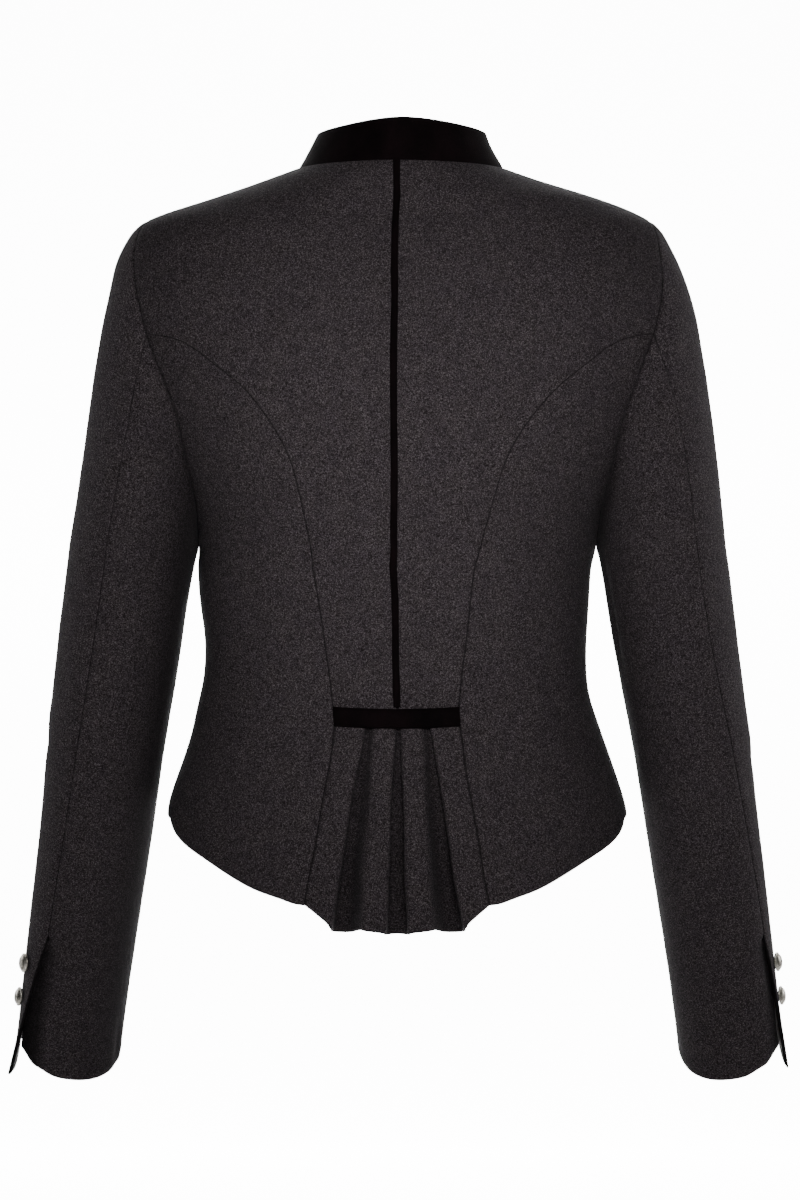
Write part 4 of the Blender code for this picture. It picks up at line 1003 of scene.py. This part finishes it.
def collar(finish):
    """A stand collar: a velvet band that rises from the neckline and leans inwards."""
    count = SPANS["neck"]
    half = join(back_neck(count), front_neck(count))
    half = half[half[:, 0] > math.radians(COLLAR_END)]
    base, slope = torso(*half.T), outward(torso, *half.T)
    into_neck = unit(np.cross(np.gradient(base, axis=0), slope))
    into_neck *= np.sign(into_neck[0, 2])
    around = np.degrees(np.arctan2(base[:, 0], base[:, 1]))
    rise = spline(*np.array(COLLAR_RISE).T, around)[:, None] * MM
    lean = spline(*np.array(COLLAR_LEAN_IN).T, around)[:, None] * MM
    forward = np.interp(around, *np.array(COLLAR_FORWARD).T)[:, None] * MM
    foot_in = np.interp(1 - slope[:, 2:] ** 2, *np.array(FOOT_IN).T) * MM
    away = unit(base * [1.0, 1.0, 0.0])
    foot_rows, top_rows = [0, 0.015, 0.04], [0.93, 0.955, 0.975, 0.99, 1]
    share = np.concatenate([foot_rows, np.linspace(COLLAR_FOOT, 0.9, 16), top_rows])
    share = share[:, None, None]
    tucked = np.clip(1 - share / COLLAR_FOOT, 0, 1)
    leant_in = lean * (share + COLLAR_BOW * share * (1 - share)) + foot_in * tucked
    left = base + into_neck * COLLAR_SEAT + UP * (rise * share - FOOT_DOWN * tucked)
    left = left - away * leant_in - forward * share * [0.0, 1.0, 0.0]
    left[..., 0] = np.maximum(left[..., 0], 0.0)
    outer = np.concatenate([left[:, ::-1], left[:, 1:] * [-1.0, 1.0, 1.0]], axis=1)
    outer[..., 0] -= COLLAR_LEAN * share[..., 0] * np.clip(0.5 + outer[..., 1] / (60 * MM), 0, 1)
    normal = grid_normals(outer, outer * [1, 1, 0])
    distance = from_rim(outer)
    half_thick = 0.5 * VELVET
    round_ = half_thick * (1 - np.sqrt(1 - (1 - np.clip(distance / half_thick, 0, 1)) ** 2))
    ripple = 0.22 * MM * np.sin(outer[..., 0] / (13 * MM) + 5.1 * share[..., 0])
    ripple *= np.clip(distance / (6 * MM), 0, 1)
    rises = ripple - round_, round_ - VELVET
    faces = [swayed(outer + normal * rise[..., None]) for rise in rises]
    cloth("collar", "velvet", faces, finish)


def beneath_flap(angle, height, back_angle):
    """How much of a point of the under sleeve lies beneath the flap, from 0 to 1."""
    down = np.clip((VENT_TOP - height) / (1.6 * VENT_STEP), 0, 1)
    near = np.clip((back_angle + math.radians(FLAP_PAST) - angle) / 0.2, 0, 1)
    return down * down * (3 - 2 * down) * near * near * (3 - 2 * near)


def sleeves(found, finish):
    """Upper and under sleeves. Near the cuff the under sleeve runs on beneath the flap."""
    for name, side in SIDES.items():
        grids, caps, back = sleeve_domains(found, name)
        turns = armhole_turns(found, name)

        def flapped(angle, height):
            return open_flap(angle, height, name)

        for part, surface in (("upper", flapped), ("under", arm)):
            angle, height = np.moveaxis(crowded(grids[part]), -1, 0)
            back_angle = crowded(back, (0,))[:, None, 0]
            points = pinned(surface(angle, height), crowded(caps[part], (0,)))
            normal = grid_normals(points, outward(surface, angle, height))
            normal = turned(points, normal, turns)
            if part == "under":
                apart = ((flapped(angle, height) - points) * normal).sum(axis=-1)
                needed = np.clip(LODEN + FACING + 2.5 * GAP - apart, 0, None)
                under = beneath_flap(angle, height, back_angle)
                points = points - normal * (under * needed)[..., None]
            blunt = BLUNT_EDGE * np.clip((VENT_TOP - height) / BLUNT_OVER, 0, 1)
            blunt = blunt * (part == "upper")
            relief = seam_relief(from_rim(points)) * (1 - blunt) + slack(points, 5.0 * side)
            relief = relief + folds("arm", f"{name}_{part}", angle, height)
            faces = points + normal * relief[..., None], points - normal * CLOTH
            faces = [leant(mirrored(face, side), "arm") for face in faces]
            # Painted shade: darker on the sleeve's inner side, beside the armhole and, on the under
            # sleeve, beside the flap's edge.
            painted_shade = np.maximum(by_angle(ARM_SHADE[name], angle), beside_armhole(points, "arm"))
            if part == "under":
                past = np.degrees(angle - back_angle)
                down = np.clip((VENT_TOP - height) / UNDERLAP_STEP, 0, 1)
                beneath = FLAP_SHADE * down * np.clip(1 - past / FLAP_SHADE_REACH, 0, 1)
                painted_shade = np.maximum(painted_shade, beneath)
            cloth(f"{part}_sleeve_{name}", "loden", faces, finish, painted_shade)
            if part == "upper":
                vent_facing(points, normal, height, name, side, finish)


def vent_facing(points, normal, height, name, side, finish):
    """A velvet layer inside the flap, a little in from its edges."""
    rows = int((height[:, 0] < VENT_TOP - 1.0 * MM).sum())
    columns = 3 * FINE + len(RIM_LINES)
    flap, through = points[:rows, :columns], normal[:rows, :columns]
    flap, through = (grid[FACING_INSET:-1, FACING_INSET:] for grid in (flap, through))
    face = flap - through * (CLOTH + FACING_CLEAR)
    backed = face - through * (FACING + rolled(from_rim(flap), FACING))[..., None]
    faces = [leant(mirrored(grid, side), "arm") for grid in (face, backed)]
    cloth(f"vent_facing_{name}", "velvet", faces, finish)


def button(name, centre, normal, radius, finish):
    """A domed metal button turned about its own axis, with a stepped rim and a shank."""
    segments = BUTTON_SEGMENTS
    axis = unit(normal)
    first = unit(np.cross(axis, [0.0, 0.31, 1.0]))
    second = np.cross(axis, first)
    turn = np.linspace(0, 2 * math.pi, segments, endpoint=False)
    spoke = np.cos(turn)[:, None] * first + np.sin(turn)[:, None] * second
    rings = np.array([share * spoke + rise * axis for share, rise in BUTTON_PROFILE])
    ends = [np.zeros(3), BUTTON_TOP * axis]
    points = centre + radius * np.concatenate([rings.reshape(-1, 3), ends])
    at = np.arange(len(BUTTON_PROFILE) * segments).reshape(-1, segments)
    there = np.roll(at, -1, axis=1)
    faces = [np.stack([at[:-1], there[:-1], there[1:], at[1:]], axis=-1).reshape(-1, 4)]
    # The end faces are triangles, whose last point is given twice.
    for first_line, next_line, end in ((there[0], at[0], -2), (at[-1], there[-1], -1)):
        tip = np.full(segments, len(points) + end)
        faces.append(np.stack([first_line, next_line, tip, tip], axis=-1))
    piece = made(name + "_metal", points, np.concatenate(faces), finish["silver"], sharp=50)
    stands_for(piece, name)


def buttons(finish):
    """Six buttons down the right front, and two on each cuff's flap."""
    for number, height in enumerate(FRONT_BUTTON_HEIGHTS, start=1):
        at = np.array(height * MM)
        angle = angle_at(0.0, at, False)
        normal = outward(torso, angle, at)
        centre = torso(angle, at) + normal * (LAP_LIFT + 1.5 * GAP)
        button(f"front_button_{number}", swayed(centre), normal, FRONT_BUTTON_RADIUS, finish)
    for name, side in SIDES.items():

        def flap(angle, height):
            return open_flap(angle, height, name)

        for place, height in CUFF_BUTTON_HEIGHTS.items():
            angle = np.array(math.radians(CUFF_BUTTON_ANGLE[name]))
            at = np.array(height * MM)
            normal = outward(flap, angle, at)
            centre = leant(mirrored(flap(angle, at) + normal * 1.6 * GAP, side), "arm")
            normal = mirrored(unit(normal + [0.0, CUFF_BUTTON_TILT[name], 0.0]), side)
            button(f"cuff_button_{name}_{place}", centre, normal, CUFF_BUTTON_RADIUS, finish)


class Nodes:
    """A short way to build a material's node tree."""

    def __init__(self, name):
        self.material = bpy.data.materials.new(name)
        self.material.use_nodes = True
        self.tree = self.material.node_tree
        self.shader = self.tree.nodes["Principled BSDF"]
        self.place = self.add("ShaderNodeTexCoord").outputs["Object"]

    def add(self, kind, **settings):
        node = self.tree.nodes.new(kind)
        for key, value in settings.items():
            setattr(node, key, value)
        return node

    def put(self, socket, value):
        if hasattr(value, "is_output"):
            self.tree.links.new(value, socket)
        else:
            socket.default_value = value

    def noise(self, scale, detail, roughness, stretch=None):
        place = self.place
        if stretch:
            mapping = self.add("ShaderNodeMapping")
            self.put(mapping.inputs["Vector"], place)
            self.put(mapping.inputs["Rotation"], stretch[0])
            self.put(mapping.inputs["Scale"], stretch[1])
            place = mapping.outputs["Vector"]
        node = self.add("ShaderNodeTexNoise")
        self.put(node.inputs["Vector"], place)
        for key, value in (("Scale", scale), ("Detail", detail), ("Roughness", roughness)):
            self.put(node.inputs[key], value)
        return node.outputs["Fac"]

    def ramp(self, value, stops):
        node = self.add("ShaderNodeValToRGB")
        self.put(node.inputs["Fac"], value)
        band = node.color_ramp
        while len(band.elements) < len(stops):
            band.elements.new(0.5)
        for element, (position, colour) in zip(band.elements, stops):
            element.position = position
            element.color = (*colour, 1.0) if hasattr(colour, "__len__") else (colour,) * 3 + (1.0,)
        return node.outputs["Color"]

    def mix(self, share, first, second, blend="MIX"):
        node = self.add("ShaderNodeMix", data_type="RGBA", blend_type=blend)
        self.put(node.inputs["Factor"], share)
        self.put(node.inputs[6], first)
        self.put(node.inputs[7], second)
        return node.outputs[2]

    def math(self, operation, first, second=0.0):
        node = self.add("ShaderNodeMath", operation=operation)
        self.put(node.inputs[0], first)
        self.put(node.inputs[1], second)
        return node.outputs[0]

    def bump(self, height, distance, strength):
        node = self.add("ShaderNodeBump")
        for key, value in (("Height", height), ("Distance", distance), ("Strength", strength)):
            self.put(node.inputs[key], value)
        return node.outputs["Normal"]

    def finish(self, **inputs):
        for key, value in inputs.items():
            self.put(self.shader.inputs[key.replace("_", " ")], value)
        return self.material


def loden():
    """Charcoal melange: dark and pale wool fibres, milled so that the weave hardly shows."""
    n = Nodes("loden_wool")
    flecks = n.noise(1900.0, 2.0, 0.6)
    tufts = n.noise(880.0, 2.0, 0.6)
    patches = n.noise(60.0, 2.0, 0.6)
    blend = n.math("ADD", n.math("MULTIPLY", flecks, 0.66), n.math("MULTIPLY", tufts, 0.34))
    wool = n.ramp(
        blend,
        (
            (0.39, (0.0048, 0.0036, 0.0039)),
            (0.47, (0.0178, 0.0145, 0.0157)),
            (0.53, (0.0338, 0.0284, 0.0309)),
            (0.61, (0.1040, 0.0890, 0.0950)),
        ),
    )
    tone = n.ramp(patches, ((0.3, (0.95, 0.94, 0.97)), (0.7, (1.05, 1.05, 1.03))))
    wool = n.mix(1.0, wool, tone, "MULTIPLY")
    # Painted shade: the edge attribute mixes the wool towards near-black along the rims and where
    # little light comes.
    edge = n.add("ShaderNodeAttribute", attribute_name="edge").outputs["Fac"]
    wool = n.mix(n.math("MULTIPLY", edge, 0.92), wool, (0.0022, 0.0018, 0.0020, 1.0))
    normal = n.bump(blend, 0.0008, 0.7)
    return n.finish(
        Base_Color=wool,
        Roughness=0.95,
        Normal=normal,
        Specular_IOR_Level=0.06,
        Sheen_Weight=0.02,
        Sheen_Roughness=0.5,
        Sheen_Tint=(0.9, 0.85, 0.9, 1.0),
    )


def velvet():
    """Black cotton velvet: almost no light off its face, and a soft sheen at its edges."""
    n = Nodes("black_velvet")
    pile = n.noise(1600.0, 2.0, 0.6)
    brushed = n.noise(60.0, 3.0, 0.55, ((0.0, 0.0, 0.4), (1.0, 1.0, 0.45)))
    colour = n.ramp(brushed, ((0.3, (0.0014, 0.0007, 0.0009)), (0.72, (0.0044, 0.0020, 0.0026))))
    normal = n.bump(pile, 0.0005, 0.5)
    return n.finish(
        Base_Color=colour,
        Roughness=0.85,
        Normal=normal,
        Specular_IOR_Level=0.05,
        Sheen_Weight=0.03,
        Sheen_Roughness=0.3,
        Sheen_Tint=(1.0, 0.9, 0.92, 1.0),
    )


def silver():
    """Antique silver: worn bright on the dome and dark where tarnish stays."""
    n = Nodes("antique_silver")
    tarnish = n.noise(420.0, 4.0, 0.65)
    scratches = n.noise(1500.0, 2.0, 0.5, ((0.3, 0.0, 0.6), (1.0, 0.2, 1.0)))
    dark, dull, bright = (0.10, 0.09, 0.075), (0.36, 0.34, 0.30), (0.62, 0.59, 0.53)
    colour = n.ramp(tarnish, ((0.34, dark), (0.5, dull), (0.7, bright)))
    rough = n.ramp(scratches, ((0.3, 0.28), (0.7, 0.5)))
    normal = n.bump(tarnish, 0.0002, 0.35)
    return n.finish(Base_Color=colour, Metallic=1.0, Roughness=rough, Normal=normal)


def pale_paper():
    """White paper that glows behind the jacket, where the camera sees it."""
    n = Nodes("pale_paper")
    split = n.add("ShaderNodeSeparateXYZ")
    n.put(split.inputs["Vector"], n.place)
    half_back = n.math("MULTIPLY", split.outputs["Y"], -0.5)
    behind = n.ramp(half_back, [(0.5 * metres, share) for metres, share in GLOW_STARTS])
    width = n.math("MULTIPLY", split.outputs["Y"], GLOW_WIDENS)
    aside = n.math("ADD", n.math("ABSOLUTE", split.outputs["X"]), width)
    glow = n.math("MULTIPLY", n.math("MULTIPLY", behind, n.ramp(aside, GLOW_ENDS)), PAPER_GLOW)
    return n.finish(
        Base_Color=(0.9, 0.9, 0.9, 1.0),
        Roughness=0.9,
        Emission_Color=(1.0, 1.0, 1.0, 1.0),
        Emission_Strength=glow,
    )


def sweep():
    """A pale floor that curves up into a wall behind the jacket, the same all along X."""
    turn = np.linspace(0.1, math.pi / 2, 14)
    back = WALL_BEND - WALL_BACK - WALL_BEND * np.sin(turn)
    bend = list(zip(back, WALL_BEND - WALL_BEND * np.cos(turn)))
    bend = [(FLOOR_FRONT, 0.0), (WALL_BEND - WALL_BACK, 0.0), *bend, (-WALL_BACK, WALL_RISE)]
    points = [(x, y, z + FLOOR_HEIGHT) for y, z in bend for x in (-SWEEP_SIDE, SWEEP_SIDE)]
    faces = [(2 * i, 2 * i + 1, 2 * i + 3, 2 * i + 2) for i in range(len(bend) - 1)]
    mesh = bpy.data.meshes.new("studio_sweep")
    mesh.from_pydata(points, [], faces)
    mesh.shade_smooth()
    mesh.materials.append(pale_paper())
    placed("studio_sweep", mesh)


def lights():
    """Faint light from all round, and the lamps."""
    world = bpy.context.scene.world or bpy.data.worlds.new("studio")
    bpy.context.scene.world = world
    world.use_nodes = True
    sky = world.node_tree.nodes["Background"]
    sky.inputs["Color"].default_value = (1.0, 1.0, 1.0, 1.0)
    sky.inputs["Strength"].default_value = WORLD_LIGHT
    for name, place, aim, size, power, spread in LAMPS:
        lamp = bpy.data.lights.new(name, "AREA")
        lamp.shape = "RECTANGLE"
        lamp.size, lamp.size_y = size
        lamp.energy = power
        lamp.spread = math.radians(spread)
        lit = placed(name, lamp)
        lit.location = place
        toward = Vector(aim) - Vector(place)
        lit.rotation_euler = toward.to_track_quat("-Z", "Y").to_euler()


def viewpoint():
    """The camera, level, behind the wearer's back."""
    camera = bpy.data.cameras.new("camera")
    camera.lens = 36.0 * CAMERA_DISTANCE / FRAME_HEIGHT
    camera.sensor_width = 36.0
    seen = placed("camera", camera)
    seen.location = (CAMERA_SIDE, CAMERA_DISTANCE, CAMERA_HEIGHT)
    seen.rotation_euler = (math.pi / 2, 0.0, math.pi)
    bpy.context.scene.camera = seen


def main():
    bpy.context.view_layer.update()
    finish = {"loden": loden(), "velvet": velvet(), "silver": silver()}
    found = seams()
    back_panels(found, finish)
    front_panels(found, finish)
    pleated_insert(finish)
    waist_tab(finish)
    back_piping(finish)
    collar(finish)
    sleeves(found, finish)
    buttons(finish)
    sweep()
    lights()
    viewpoint()


main()
